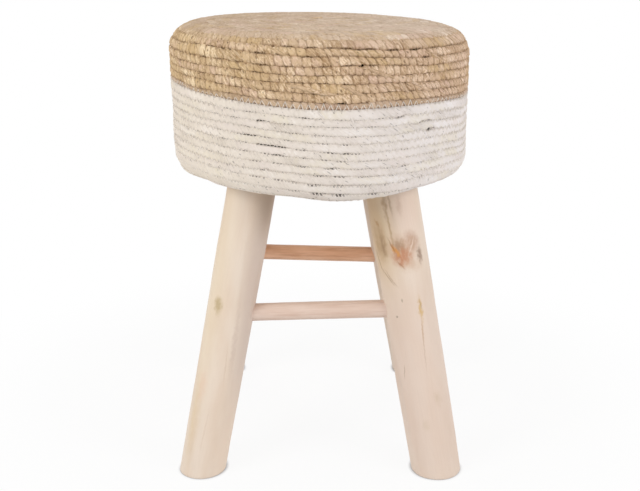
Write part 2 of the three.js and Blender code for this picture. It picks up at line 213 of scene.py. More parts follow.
def put(kind, *ordered, want=0, **named):
    """Adds a node to the tree now being built, and hands back one of its outputs, or all for None. Inputs are
    given in order, or by name with a capital. A name without a capital is one of the node's settings."""
    kinds = [prefix + kind for prefix in ("ShaderNode", "GeometryNode", "FunctionNode", "Node", "")]
    node = tree.nodes.new(next(name for name in kinds if hasattr(bpy.types, name)))
    inputs = dict(enumerate(ordered))
    for name, value in named.items():
        if name[0].isupper():
            inputs[name.replace("_", " ")] = value
        else:
            setattr(node, name, value)
    for name, value in inputs.items():
        if isinstance(value, (Wire, list)):
            for wire in value if isinstance(value, list) else [value]:
                tree.links.new(wire.socket, node.inputs[name])
        elif value is not None:
            node.inputs[name].default_value = value
    return [Wire(output) for output in node.outputs] if want is None else Wire(node.outputs[want])


def reckon(how, first, second=0.0):
    return put("Math", first, second, operation=how)


def clamped(wire):
    """Holds the result of a sum between 0 and 1."""
    wire.socket.node.use_clamp = True
    return wire


def apart(vector):
    return put("SeparateXYZ", vector, want=None)


def together(x=0.0, y=0.0, z=0.0):
    return put("CombineXYZ", x, y, z)


def plus(first, second):
    return put("VectorMath", first, second, operation="ADD")


def read(name, want="Vector"):
    """What a mesh keeps under a name, for a finish."""
    return put("Attribute", attribute_name=name, want=want)


def fade(value, start, end, low=0.0, high=1.0):
    """Runs smoothly from low to high as the value goes from start to end."""
    return put("MapRange", Value=value, From_Min=start, From_Max=end, To_Min=low, To_Max=high,
               interpolation_type="SMOOTHSTEP")


def stain(share, under, over, how="MIX"):
    """Lays one colour over another."""
    return put("Mix", share, *[None] * 5, under, over, want=2, data_type="RGBA", blend_type=how)


def stretched(place, *scale):
    return put("Mapping", Vector=place, Scale=scale)


def cloud(place, scale, detail=3.0, rough=0.5, bent=0.0):
    return put("TexNoise", Vector=place, Scale=scale, Detail=detail, Roughness=rough, Distortion=bent)


def new_finish(name, roughness, shine=0.3):
    """Starts a finish; put() adds to its tree from here on."""
    global tree
    finish = bpy.data.materials.new(name)
    finish.use_nodes = True
    tree = finish.node_tree
    shader = tree.nodes["Principled BSDF"]
    shader.inputs["Roughness"].default_value = roughness
    shader.inputs["Specular IOR Level"].default_value = shine
    return finish


def cover(finish, colour, height, depth, strength):
    """Ends a finish with its colour, and its relief of some depth."""
    shader = tree.nodes["Principled BSDF"]
    tree.links.new(colour.socket, shader.inputs["Base Color"])
    bump = put("Bump", Height=height, Distance=depth, Strength=strength)
    tree.links.new(bump.socket, shader.inputs["Normal"])
    return finish


PALE_WOOD = paint(225, 209, 193)
WARM_WOOD = paint(219, 199, 180)
GREY_WOOD = paint(206, 187, 170)


def log_finish(name, marks):
    """Peeled, sanded wood: long faint grain, warm and grey patches, and marks, of which some are knots and streaks
    and some are painted light and shade.
    """
    finish = new_finish(name, 0.52)
    place = read("in_log")
    skin = put("UVMap", uv_map="UVMap")
    broad = cloud(stretched(place, 1, 1, 0.25), 46, 3)
    grain = cloud(stretched(place, 1, 1, 0.045), 420, 5, 0.6, 0.3)
    fine = cloud(stretched(place, 1, 1, 0.03), 1500, 2, 0.5)
    cloudy = cloud(stretched(place, 1, 1, 0.4), 90, 4, 0.6)
    patchy = fade(cloud(stretched(place, 1, 1, 0.4), 300, 3, 0.6), 0.34, 0.58, 0.62, 1.0)
    colour = stain(fade(broad, 0.35, 0.72), PALE_WOOD, WARM_WOOD)
    colour = stain(fade(grain, 0.52, 0.85, 0, 0.4), colour, WARM_WOOD)
    colour = stain(fade(fine, 0.55, 0.8, 0, 0.22), colour, GREY_WOOD)
    colour = stain(fade(cloudy, 0.58, 0.8, 0, 0.35), colour, GREY_WOOD)
    # The marks' edges wander: a little where a mark is a line or large, more where it is a knot.
    strayed = []
    for scale, detail, reach in ((260.0, 2.0, (0.0022, 0.003, 0)), (190.0, 3.0, (0.0068, 0.0095, 0))):
        wander = put("TexNoise", want=1, Vector=skin, Scale=scale, Detail=detail)
        wander = put("VectorMath", wander, (0.5, 0.5, 0.5), operation="SUBTRACT")
        strayed.append(plus(skin, put("VectorMath", wander, reach, operation="MULTIPLY")))
    for around, up, width, length, lean, soft, strength, *shade in marks:
        is_knot = 12 < width < 120
        soft, strength = soft / 10, strength / 100
        here = put("Mapping", Vector=strayed[is_knot], Location=(around / 10000, up / 10000, 0),
                   Rotation=(0, 0, math.radians(lean)), Scale=(width / 10000, length / 10000, 1),
                   vector_type="TEXTURE")
        away = put("VectorMath", here, want="Value", operation="LENGTH")
        share = fade(away, 1 + soft, max(0.0, 1 - soft), 0, patchy * strength if is_knot else strength)
        colour = stain(share, colour, paint(*shade))
    return cover(finish, colour, grain + cloudy * 1.5, 0.0004, 0.45)


# A sawn end shows year rings round the heart, and the saw's teeth.
sawn_end = new_finish("sawn log end", 0.7, 0.15)
place = put("UVMap", uv_map="UVMap")
rings = put("TexWave", want=1, Vector=place, Scale=130.0, Distortion=1.4, Detail=2.0, Detail_Scale=0.6,
            wave_type="RINGS", rings_direction="SPHERICAL")
teeth = cloud(stretched(place, 1, 0.1, 1), 900, 2)
dark_wood = paint(190, 152, 112)
colour = stain(fade(rings, 0.2, 0.9, 0, 0.7), paint(226, 203, 170), dark_wood)
cover(sawn_end, stain(fade(teeth, 0.5, 0.8, 0, 0.3), colour, dark_wood), teeth, 0.0003, 0.5)
# The marks on each log's skin: around, up, half width and half length in tenths of a millimetre, lean in degrees,
# softness in tenths, strength in hundredths, and colour. Most are the wood's own knots, streaks and tones; some
# are painted light and shade, as noted over their rows.
LOG_MARKS = {
    "front_left_leg": [
        # Painted light and shade: the broad cream mark on the left side is painted light from the left lamp, and
        # the long grey-pink mark down the right side is painted shade.
        (-240, 2000, 150, 1300, 0, 9, 45, 232, 214, 182), (320, 2350, 200, 1800, 0, 5, 60, 196, 178, 169),
        # Painted light and shadow: the broad pale mark low on the right is painted light, and the dark mark at the
        # top right is painted shadow under the seat.
        (290, 200, 150, 700, 0, 7, 55, 235, 216, 198), (230, 2900, 130, 280, 0, 9, 45, 156, 136, 112),
        (110, 1460, 22, 300, 2, 8, 30, 184, 160, 146), (-131, 1781, 44, 82, 8, 6, 80, 190, 168, 128),
        (-131, 1785, 22, 44, 8, 7, 30, 172, 150, 112), (-160, 921, 50, 130, 0, 9, 35, 226, 186, 160),
        (-210, 560, 60, 360, 3, 9, 45, 212, 186, 146), (60, 1180, 6, 160, 3, 8, 25, 188, 156, 126),
        (-40, 480, 6, 200, -3, 8, 20, 190, 160, 132),
    ],
    "front_right_leg": [
        # The olive tan mark at the top left is the wood's tone with painted shade from the seat over it.
        (-230, 2600, 170, 500, 0, 8, 62, 206, 178, 134), (100, 2720, 140, 300, 0, 9, 50, 226, 202, 188),
        (50, 900, 500, 1100, 0, 5, 50, 216, 193, 180), (-238, 2460, 88, 170, 6, 6, 72, 178, 148, 114),
        (-205, 2430, 34, 90, 8, 8, 55, 150, 122, 92), (-250, 2660, 14, 44, 30, 8, 55, 172, 122, 72),
        (-290, 2270, 7, 110, 20, 8, 50, 150, 122, 84), (-198, 2115, 6, 85, 36, 8, 55, 144, 112, 78),
        (-164, 2100, 6, 90, 32, 8, 45, 154, 122, 88), (-8, 2360, 100, 130, 14, 8, 85, 190, 148, 118),
        (-22, 2420, 50, 66, 25, 6, 75, 168, 140, 114), (-12, 2300, 76, 72, 30, 8, 85, 186, 126, 92),
        (-70, 2380, 19, 64, 32, 7, 100, 206, 146, 84), (-98, 2430, 7, 70, 20, 8, 55, 140, 96, 54),
        (-36, 2225, 9, 46, 36, 7, 60, 156, 108, 76), (112, 2440, 62, 98, 10, 7, 80, 186, 150, 126),
        (96, 2400, 7, 70, -24, 7, 55, 232, 214, 196), (176, 2288, 26, 70, -4, 7, 80, 138, 110, 90),
        (70, 2200, 90, 48, 0, 9, 40, 198, 164, 134), (-90, 2610, 10, 150, 3, 8, 55, 164, 130, 88),
        (-104, 2830, 18, 105, 0, 9, 65, 156, 124, 92), (-52, 2860, 10, 110, 4, 8, 50, 160, 130, 96),
        (30, 2820, 22, 85, 0, 9, 40, 184, 154, 132), (88, 1745, 18, 105, 0, 8, 85, 204, 170, 114),
        (96, 1800, 8, 50, 6, 7, 50, 170, 140, 100), (74, 1520, 8, 110, -4, 8, 50, 180, 138, 94),
        (58, 1300, 5, 160, -3, 8, 30, 170, 138, 110), (-82, 1862, 8, 17, 0, 6, 60, 152, 134, 112),
        (-163, 1700, 10, 11, 0, 6, 70, 146, 130, 110), (-178, 1120, 5, 65, -8, 7, 45, 150, 122, 94),
        (118, 810, 34, 60, 10, 8, 50, 198, 176, 150), (-44, 555, 30, 50, 0, 8, 30, 200, 180, 150),
    ],
    "rear_left_leg": [
        (40, 2000, 48, 95, 6, 4, 80, 176, 128, 92), (40, 2000, 22, 50, 6, 5, 70, 140, 98, 66),
        (-600, 900, 44, 85, -8, 4, 80, 176, 128, 92), (350, 1300, 5, 300, 4, 8, 50, 150, 116, 84),
        (620, 700, 70, 200, 0, 9, 35, 206, 172, 146),
    ],
    "rear_right_leg": [
        (-170, 1500, 46, 90, 8, 4, 80, 176, 128, 92), (430, 2200, 46, 90, -6, 4, 80, 176, 128, 92),
        (430, 2200, 20, 44, -6, 5, 70, 140, 98, 66), (100, 500, 5, 240, 2, 8, 60, 142, 110, 82),
        (-120, 300, 120, 240, 0, 9, 45, 176, 156, 134),
    ],
}
for seed, (name, marks) in enumerate(LOG_MARKS.items()):
    log = log_mesh(name, 11 + seed)
    log.data.materials.append(log_finish(name.replace("_leg", " log wood").replace("_", " "), marks))
    log.data.materials.append(sawn_end)
    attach(log, "root")
    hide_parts(name)


# Four dowels tie the legs, glued into blind sockets: the front and rear ones
# low, the side ones a step higher. The front and side ones are pale and
# pinkish; the rear one is a browner wood.
RUNG_RADIUS = 0.0091
SOCKET_DEPTH = 0.020
RUNG_ENDS = {
    "front_rung": ("front_left_leg", 0.1625, "front_right_leg", 0.1675),
    "rear_rung": ("rear_left_leg", 0.1675, "rear_right_leg", 0.1625),
    "left_rung": ("front_left_leg", 0.205, "rear_left_leg", 0.205),
    "right_rung": ("front_right_leg", 0.205, "rear_right_leg", 0.205),
}


def new_form(name, **sizes):
    """Starts a geometry tree with named inputs, and hands back what each one carries."""
    global tree
    tree = bpy.data.node_groups.new(name, "GeometryNodeTree")
    for size, kind in {"Geometry": "Geometry", **sizes}.items():
        tree.interface.new_socket(name=size.replace("_", " "), in_out="INPUT", socket_type="NodeSocket" + kind)
    tree.interface.new_socket(name="Geometry", in_out="OUTPUT", socket_type="NodeSocketGeometry")
    return put("GroupInput", want=None)[:len(sizes) + 1]


def close_form(geometry, finish):
    """Ends a form: instances made real, and the finish set. Hands back its tree."""
    real = put("GeometryNodeRealizeInstances", Geometry=geometry)
    put("GroupOutput", want=None, Geometry=put("GeometryNodeSetMaterial", Geometry=real, Material=finish))
    return tree


def kept_on(geometry, name, value, data_type="FLOAT", domain="POINT"):
    return put("StoreNamedAttribute", Geometry=geometry, Name=name, Value=value, data_type=data_type,
               domain=domain)


def found(name, data_type="FLOAT"):
    return put("InputNamedAttribute", Name=name, data_type=data_type)


def times(vector, share):
    return put("VectorMath", vector, Scale=share, operation="SCALE")


def swept(path, ring):
    return put("CurveToMesh", Curve=path, Profile_Curve=ring, Fill_Caps=True)


def moved(geometry, **place):
    return put("SetPosition", Geometry=geometry, **place)


def smooth(geometry):
    return put("SetShadeSmooth", Geometry=geometry)


def make_piece(name, form, start=None, **sizes):
    """Runs a form on a mesh and keeps the result as a plain mesh."""
    carrier = stand(name, start or bpy.data.meshes.new(name))
    step = carrier.modifiers.new("form", "NODES")
    step.node_group = form
    for socket in form.interface.items_tree:
        if socket.in_out == "INPUT" and socket.name != "Geometry":
            step[socket.identifier] = sizes[socket.name.replace(" ", "_")]
    seen = bpy.context.evaluated_depsgraph_get()
    mesh = bpy.data.meshes.new_from_object(carrier.evaluated_get(seen), depsgraph=seen)
    carrier.modifiers.clear()
    carrier.data = mesh
    mesh.name = name
    return carrier


_, start, end, radius, unevenness, sides, rings, shift, wood = new_form(
    "turned dowel", Start="Vector", End="Vector", Radius="Float", Unevenness="Float", Sides="Int", Rings="Int",
    Seed="Int", Wood="Material")
line = put("CurvePrimitiveLine", Start=start, End=end)
line = put("ResampleCurve", Curve=line, Count=rings)
line = kept_on(line, "length_along", put("SplineParameter", want="Length"))
ring = put("CurvePrimitiveCircle", Resolution=sides, Radius=radius)
here = put("InputPosition")
rod = swept(line, kept_on(ring, "in_ring", here, "FLOAT_VECTOR"))
x, y, _ = apart(found("in_ring", "FLOAT_VECTOR"))
rod = kept_on(rod, "in_log", together(x, y, found("length_along")), "FLOAT_VECTOR")
uneven = cloud(plus(here, together(shift)), 30.0, 1.0) - 0.5
rod = moved(rod, Offset=times(put("InputNormal"), uneven * unevenness))
dowel_form = close_form(smooth(rod), wood)


def dowel_finish(name, pale, warm, dark):
    """Turned and sanded wood: straight grain along the dowel and short pores."""
    finish = new_finish(name, 0.48)
    place = read("in_log")
    grain = cloud(stretched(place, 1, 1, 0.05), 520, 4, 0.55, 0.4)
    pores = cloud(stretched(place, 1, 1, 0.06), 2200, 2)
    colour = stain(fade(cloud(stretched(place, 1, 1, 0.3), 70, 2), 0.35, 0.7), pale, warm)
    colour = stain(fade(grain, 0.44, 0.76, 0, 0.52), colour, dark)
    colour = stain(fade(pores, 0.6, 0.85, 0, 0.35), colour, dark)
    return cover(finish, colour, grain, 0.0003, 0.35)


pink_wood = dowel_finish("pink rung wood", paint(224, 202, 188), paint(215, 189, 173), paint(196, 164, 146))
brown_wood = dowel_finish("brown rung wood", paint(230, 186, 156), paint(212, 164, 131), paint(166, 116, 86))
for seed, (name, (first, first_height, last, last_height)) in enumerate(RUNG_ENDS.items()):
    first_foot, _, _, first_up = log_axes(first)
    last_foot, _, _, last_up = log_axes(last)
    start = first_foot + first_up * (first_height / first_up[2])
    end = last_foot + last_up * (last_height / last_up[2])
    inward = (end - start) / np.linalg.norm(end - start) * (LOG_RADIUS - SOCKET_DEPTH)
    rung = make_piece(
        name.replace("_rung", "_dowel"), dowel_form, Start=tuple(start + inward), End=tuple(end - inward),
        Radius=RUNG_RADIUS, Unevenness=0.0007, Sides=40, Rings=70, Seed=5 + seed,
        Wood=brown_wood if name == "rear_rung" else pink_wood)
    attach(rung, "root")
    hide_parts(name)
    "brown_rung_wood" if name == "rear_rung" else "pink_rung_wood"


# The seat plate is a disc of 15 mm plywood that carries the foam. Its solid is
# right as it is, so it only gets its finish: faces with long grain, and the
# plies as bands on the edge.
PLATE_BOTTOM = 0.30452
PLATE_TOP = 0.31952
PLY = 0.0030
plywood = new_finish("bare plywood", 0.72, 0.2)
place = put("TexCoord", want="Object")
grain = cloud(stretched(place, 1, 0.05, 1), 240, 5, 0.6, 0.6)
pores = cloud(stretched(place, 1, 0.04, 1), 1300, 2)
colour = stain(fade(grain, 0.4, 0.7), paint(216, 188, 148), paint(198, 165, 120))
colour = stain(fade(pores, 0.55, 0.8, 0, 0.5), colour, paint(150, 114, 76))
plies = reckon("PINGPONG", apart(place)[2] - PLATE_BOTTOM, PLY)
plies = stain(fade(plies, 0.0012, 0.0018), paint(206, 174, 132), paint(148, 108, 72))
on_edge = fade(abs(apart(put("NewGeometry", want="True Normal"))[2]), 0.8, 0.3)
cover(plywood, stain(on_edge, colour, plies), grain, 0.0003, 0.5)
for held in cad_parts["seat_plate"].material_slots:
    held.material = plywood


# Two countersunk wood screws go down through the plate into each leg, side by
# side across the way that the leg leans. They are zinc plated, with a coarse
# thread rolled along most of the shank.
SCREW_LENGTH = 0.060
SCREW_SHANK = 0.0025
SCREW_HEAD = 0.0050
SCREW_SPACING = 0.022
THREAD_TURNS = 15.0
points, length, shank, head, turns, steel = new_form(
    "countersunk screws", Length="Float", Shank_radius="Float", Head_radius="Float", Thread_turns="Float",
    Steel="Material")
taper, root = head - shank, shank * 0.72
spiral = put("CurveSpiral", Resolution=14, Rotations=turns, Start_Radius=shank * 0.45,
             End_Radius=shank * 0.86, Height=length * 0.64)
blade = put("CurvePrimitiveCircle", Resolution=3, Radius=shank * 0.14)
made = []
for shape, depth in (
        (dict(Vertices=20, Radius_Top=head, Radius_Bottom=shank, Depth=taper), taper),
        (dict(Vertices=16, Radius_Top=shank, Radius_Bottom=root, Depth=length * 0.82), length * 0.87),
        (dict(Vertices=16, Radius_Top=root, Radius_Bottom=0.0, Depth=length * 0.10), length * 0.97),
        (None, length * 0.95)):
    shape = put("MeshCone", **shape) if shape else swept(spiral, blade)
    made.append(put("Transform", Geometry=shape, Translation=together(z=depth * -1.0)))
screw = put("JoinGeometry", made)
screw_form = close_form(put("InstanceOnPoints", Points=points, Instance=screw), steel)


def steel_finish(name, bright, dull):
    finish = new_finish(name, 0.34, 0.5)
    shader = tree.nodes["Principled BSDF"]
    shader.inputs["Metallic"].default_value = 1.0
    spots = cloud(put("TexCoord", want="Object"), 700, 3)
    tree.links.new(fade(spots, 0.3, 0.8, 0.28, 0.46).socket, shader.inputs["Roughness"])
    return cover(finish, stain(fade(spots, 0.4, 0.7), bright, dull), spots, 0.00005, 0.4)


places, names = [], []
for name, (_, head, _) in LEGS.items():
    head = np.array(head)
    sideways = np.array([-head[1], head[0]]) / np.hypot(*head)
    for number, side in ((1, -0.5), (2, 0.5)):
        places.append((*(head + sideways * side * SCREW_SPACING), PLATE_TOP))
        names.append(name.replace("_leg", f"_screw_{number}"))
spots = bpy.data.meshes.new("screw places")
spots.from_pydata(places, [], [])
screws = make_piece(
    "leg_screws", screw_form, spots, Length=SCREW_LENGTH, Shank_radius=SCREW_SHANK, Head_radius=SCREW_HEAD,
    Thread_turns=THREAD_TURNS,
    Steel=steel_finish("zinc screw steel", paint(204, 202, 196), paint(172, 170, 162)))
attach(screws, "root")
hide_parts(*names)


# The foam drum is one moulded block, a little crowned, that sits on the plate
# and gives the seat its round edge. Years of sitting have let it settle a
# little to the right, and everything wound over it follows.
ROPE_INSET = 0.00312
SEAT_TOP = 0.450
SEAT_RADIUS = 0.154
CROWN = 0.126
CROWN_RISE = 0.003
RIM_ROUND = 0.028
RIM = RIM_ROUND - ROPE_INSET
SIDE = 0.103
TUCK = 0.020 - ROPE_INSET
TUCK_RADIUS = 0.134
TUCK_HEIGHT = 0.316
SIDE_START = CROWN + RIM * math.pi / 2
TUCK_START = SIDE_START + SIDE
TUCK_END = TUCK_START + TUCK * math.pi / 2
# How the seat has settled, at these ways round in turns from the right: how far
# its low edge, its rim and its shoulder have dropped, in millimetres.
LOW_EDGE_DROPS = (
    [0.0, 0.50, 0.56, 0.58, 0.596, 0.61, 0.628, 0.65, 0.70, 0.72, 0.735, 0.745, 0.76, 0.775, 0.79, 0.82,
     0.86, 0.88, 0.90, 0.92, 0.95, 1.0],
    [0.0, 0.0, -0.9, -2.1, -2.7, -3.8, -2.7, -1.6, -1.8, -1.3, -0.1, 1.2, 2.5, 3.1, 2.9, 1.5, -1.2, -1.3,
     -1.4, -0.1, 1.0, 0.0])
RIM_DROPS = (
    [0.0, 0.05, 0.09, 0.13, 0.17, 0.21, 0.25, 0.30, 0.36, 0.42, 1.0],
    [0.0, 1.2, 3.3, 3.6, 2.7, 1.9, 1.5, 1.2, 0.6, 0.0, 0.0])
SHOULDER_DROPS = ([0.0, 0.02, 0.05, 0.08, 0.12, 0.95, 0.98, 1.0], [2.9, 2.5, 1.5, 0.4, 0.0, 0.0, 2.0, 2.9])


def swell(along, middle, width):
    return np.exp(-(((along - middle) / width) ** 2))


def seat_skin(along, turn):
    """The line that the rope's middle keeps to: its points, and the ways out of the seat, down it and round
    it. along is the way from the middle of the top, over the rim and down, and turn is the way round, in
    whole turns."""
    along, turn = np.broadcast_arrays(np.asarray(along, float), np.asarray(turn, float))
    bend = np.clip((along - CROWN) / RIM, 0, np.pi / 2)
    under = np.clip((along - TUCK_START) / TUCK, 0, np.pi / 2)
    slope = 2 * CROWN_RISE * along / CROWN**2
    parts = [along < CROWN, along < SIDE_START, along < TUCK_START]
    side_top = SEAT_TOP - CROWN_RISE - RIM_ROUND
    radius = np.select(
        parts, [along, CROWN + RIM * np.sin(bend), SEAT_RADIUS - ROPE_INSET + 0 * along],
        TUCK_RADIUS + TUCK * np.cos(under))
    height = np.select(
        parts, [SEAT_TOP - ROPE_INSET - CROWN_RISE * (along / CROWN) ** 2, side_top + RIM * np.cos(bend),
                side_top - (along - SIDE_START)], TUCK_HEIGHT - TUCK * np.sin(under))
    out_flat = np.select(parts, [slope / np.hypot(slope, 1), np.sin(bend), 1 + 0 * along], np.cos(under))
    out_up = np.select(parts, [1 / np.hypot(slope, 1), np.cos(bend), 0 * along], -np.sin(under))
    angle = 2 * np.pi * turn
    c, s = np.cos(angle), np.sin(angle)
    # How far the seat has settled: more on the right, with softer edges on the left.
    left, right, front = (np.clip(way, 0, 1) ** 2 for way in (-c, c, -s))
    on_side = np.clip((along - 0.05) / 0.10, 0, 1) * np.clip((TUCK_END - along) / 0.02, 0, 1)
    low_edge = swell(along, TUCK_START + 0.004, 0.016)
    high_edge = swell(along, CROWN + 0.016, 0.020)
    sink = -0.0030 * c * on_side * (radius / SEAT_RADIUS) ** 2
    sink = sink + low_edge * (0.0012 * left + 0.0020 * right - 0.0012 * front) - high_edge * 0.0024 * left
    for middle, width, drops in (
            (TUCK_START + 0.019, 0.012, LOW_EDGE_DROPS), (CROWN + 0.012, 0.034, RIM_DROPS),
            (CROWN + 0.003, 0.013, SHOULDER_DROPS)):
        sink = sink - swell(along, middle, width) * np.interp(turn - np.floor(turn), *drops) * 0.001
    sink = sink + 0.0010 * swell(along, CROWN + 0.022, 0.011) * left
    radius = radius - low_edge * (0.0020 * left - 0.0002 * right) - high_edge * (0.0016 * left + 0.0009 * right)
    radius = radius - 0.0010 * left * swell(along, SIDE_START + 0.012, 0.016)
    radius = radius - 0.0024 * (1 - 0.85 * right) * swell(along, SIDE_START + 0.062, 0.036)
    points = np.stack([radius * c, radius * s, height + sink], -1)
    outward = np.stack([out_flat * c, out_flat * s, out_up], -1)
    down = np.stack([out_up * c, out_up * s, -out_flat], -1)
    return points, outward, down, np.stack([-s, c, 0 * s], -1)


def drum_rings(alongs, depth, sides, foot=-1.0):
    """Rings of points under the skin, one for each along, that go no lower than the foot."""
    turns = np.arange(sides) / sides
    rings = []
    for along in alongs:
        points, outward, _, _ = seat_skin(np.full(sides, along), turns)
        ring = points - outward * depth
        ring[:, 2] = np.maximum(ring[:, 2], foot)
        rings.append(ring)
    return rings


def ringed_piece(name, rings, start, end, finish):
    """Joins rings of points into a closed skin, with a point on the axis at each end."""
    sides = len(rings[0])
    points = np.concatenate([*rings, [(0, 0, start), (0, 0, end)]])
    last = len(points) - 3
    faces = []
    for ring in range(0, last + 1 - sides, sides):
        for i in range(sides):
            after = (i + 1) % sides
            faces.append((ring + i, ring + sides + i, ring + sides + after, ring + after))
    faces += [(last + 1, i, (i + 1) % sides) for i in range(sides)]
    faces += [(last + 2, last - i, last - (i + 1) % sides) for i in range(sides)]
    mesh = bpy.data.meshes.new(name)
    mesh.from_pydata(points.tolist(), [], faces)
    mesh.polygons.foreach_set("use_smooth", np.ones(len(faces), bool))
    mesh.materials.append(finish)
    return stand(name, mesh)


foam_finish = new_finish("open foam", 0.9, 0.1)
place = put("TexCoord", want="Object")
cells = put("TexVoronoi", Vector=place, Scale=900.0)
colour = stain(fade(cloud(place, 30, 3), 0.35, 0.7), paint(240, 232, 202), paint(228, 212, 166))
colour = stain(fade(cells, 0.5, 0.05, 0, 0.4), colour, paint(176, 156, 112))
cover(foam_finish, colour, cells, 0.0006, 0.8)
FOAM_UNDER = 0.00852
FOAM_FOOT = PLATE_TOP + 0.0003
foam_alongs = np.concatenate([
    np.linspace(0.004, CROWN, 18), np.linspace(CROWN + 0.004, SIDE_START, 10),
    np.linspace(SIDE_START + 0.008, SIDE_START + 0.0975, 10)])
foam_rings = drum_rings(foam_alongs, FOAM_UNDER - ROPE_INSET, 96, FOAM_FOOT)
last = foam_rings[-1].copy()
for share in (1.0, 0.96, 0.6):
    ring = last * [share, share, 1]
    ring[:, 2] = FOAM_FOOT
    foam_rings.append(ring)
foam = ringed_piece("foam_drum", foam_rings, SEAT_TOP - FOAM_UNDER, FOAM_FOOT, foam_finish)
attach(foam, "root")
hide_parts("foam_pad")


# The lining is a dark plain-woven cloth cap pulled down over the foam and in
# under the plate. It shows as near-black specks wherever two turns of the rope
# stand apart.
LINING_UNDER = 0.00702
LINING_THICKNESS = 0.0012
HEM_RADIUS = 0.126
lining_finish = new_finish("dark lining cloth", 0.95, 0.1)
place = put("TexCoord", want="Object")
weave = put("TexVoronoi", Vector=place, Scale=1100.0)
colour = stain(fade(cloud(place, 60, 3), 0.4, 0.75), paint(38, 32, 28), paint(58, 48, 40))
colour = stain(fade(weave, 0.1, 0.6, 0, 0.5), colour, paint(20, 16, 14))
cover(lining_finish, colour, weave, 0.0004, 0.8)
lining_alongs = np.concatenate([
    np.linspace(0.004, CROWN, 16), np.linspace(CROWN + 0.004, SIDE_START, 10),
    np.linspace(SIDE_START + 0.010, TUCK_START, 10), np.linspace(TUCK_START + 0.003, TUCK_END, 8)])
outer, inner = (
    drum_rings(lining_alongs, depth - ROPE_INSET, 120)
    for depth in (LINING_UNDER, LINING_UNDER + LINING_THICKNESS))
hem_share = [HEM_RADIUS / TUCK_RADIUS, HEM_RADIUS / TUCK_RADIUS, 1]
hem, hem_inner = outer[-1] * hem_share, inner[-1] * hem_share
lining = ringed_piece(
    "lining_cloth_cap", [*outer, hem, hem_inner, *inner[::-1]], SEAT_TOP - LINING_UNDER,
    SEAT_TOP - LINING_UNDER - LINING_THICKNESS, lining_finish)
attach(lining, "root")
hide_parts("lining")


# Twelve wire staples hold the lining's hem up against the plate. Each is a
# bright wire with two legs driven up into the plywood.
STAPLE_COUNT = 12
_, count, ring_radius, height, width, leg, gauge, steel = new_form(
    "hem staples", Count="Int", Ring_radius="Float", Height="Float", Width="Float", Leg="Float", Wire="Float",
    Steel="Material")
half, wire_half = (width - gauge) * 0.5, gauge * 0.5
number = put("InputIndex")
second = put("Compare", A=number, B=1, data_type="INT", operation="GREATER_THAN")
side = put("Switch", second, half * -1.0, half, input_type="FLOAT")
at_end = reckon("GREATER_THAN", abs(number - 1.5), 1.0)
rise = reckon("MAXIMUM", at_end * (leg - wire_half) + wire_half, wire_half)
bent = moved(put("MeshLine", Count=4), Position=together(0.0, side, rise))
bent = put("MeshToCurve", Mesh=bent)
bent = put("FilletCurve", Curve=bent, Count=4, Radius=0.0007, mode="POLY")
staple = swept(bent, put("CurvePrimitiveCircle", Resolution=8, Radius=wire_half))
angle = (number + 0.5) * (2 * math.pi) / count
station = together(ring_radius * reckon("COSINE", angle), ring_radius * reckon("SINE", angle), height)
stations = moved(put("MeshLine", Count=count), Position=station)
turned = put("EulerToRotation", together(z=angle))
staples = put("InstanceOnPoints", Points=stations, Instance=staple, Rotation=turned)
staple_form = close_form(smooth(put("GeometryNodeRealizeInstances", Geometry=staples)), steel)
staples = make_piece(
    "hem_staples", staple_form, Count=STAPLE_COUNT, Ring_radius=0.129, Height=0.30202, Width=0.010, Leg=0.009,
    Wire=0.0007, Steel=steel_finish("bright staple wire", paint(206, 206, 204), paint(180, 178, 174)))
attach(staples, "root")
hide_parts(*[f"hem_staple_{number:02d}" for number in range(1, STAPLE_COUNT + 1)])


# The natural rope is braided from dry straw-brown husk and coiled edge to edge
# from the middle of the top, over the rim and down to the white rope. It is
# made as a line of stations, one group for each bead of the braid, swept with
# a flattened section that pinches in between the beads.
ROPE_PITCH = 0.0077
ROPE_HALF = ROPE_PITCH / 2
ROPE_DEPTH = 0.0034
EYE = 0.0065
BEAD = 0.0075
BEAD_SHARES = np.array([0.0, 0.11, 0.30, 0.50, 0.70, 0.89])
BEAD_PINCH = np.array([1.0, 0.55, 0.13, 0.0, 0.13, 0.55])
SQUARENESS = 0.66
STRAND_TURN = 0.9
# The turns where the top starts and ends, where sitting stops wearing the rope
# smooth and where it leaves it fresh, and where the white rope starts.
TOP_START = -0.35
TOP_END = 15.25
WORN_TURNS = (16.4, 18.2)
WHITE_START = 25.25
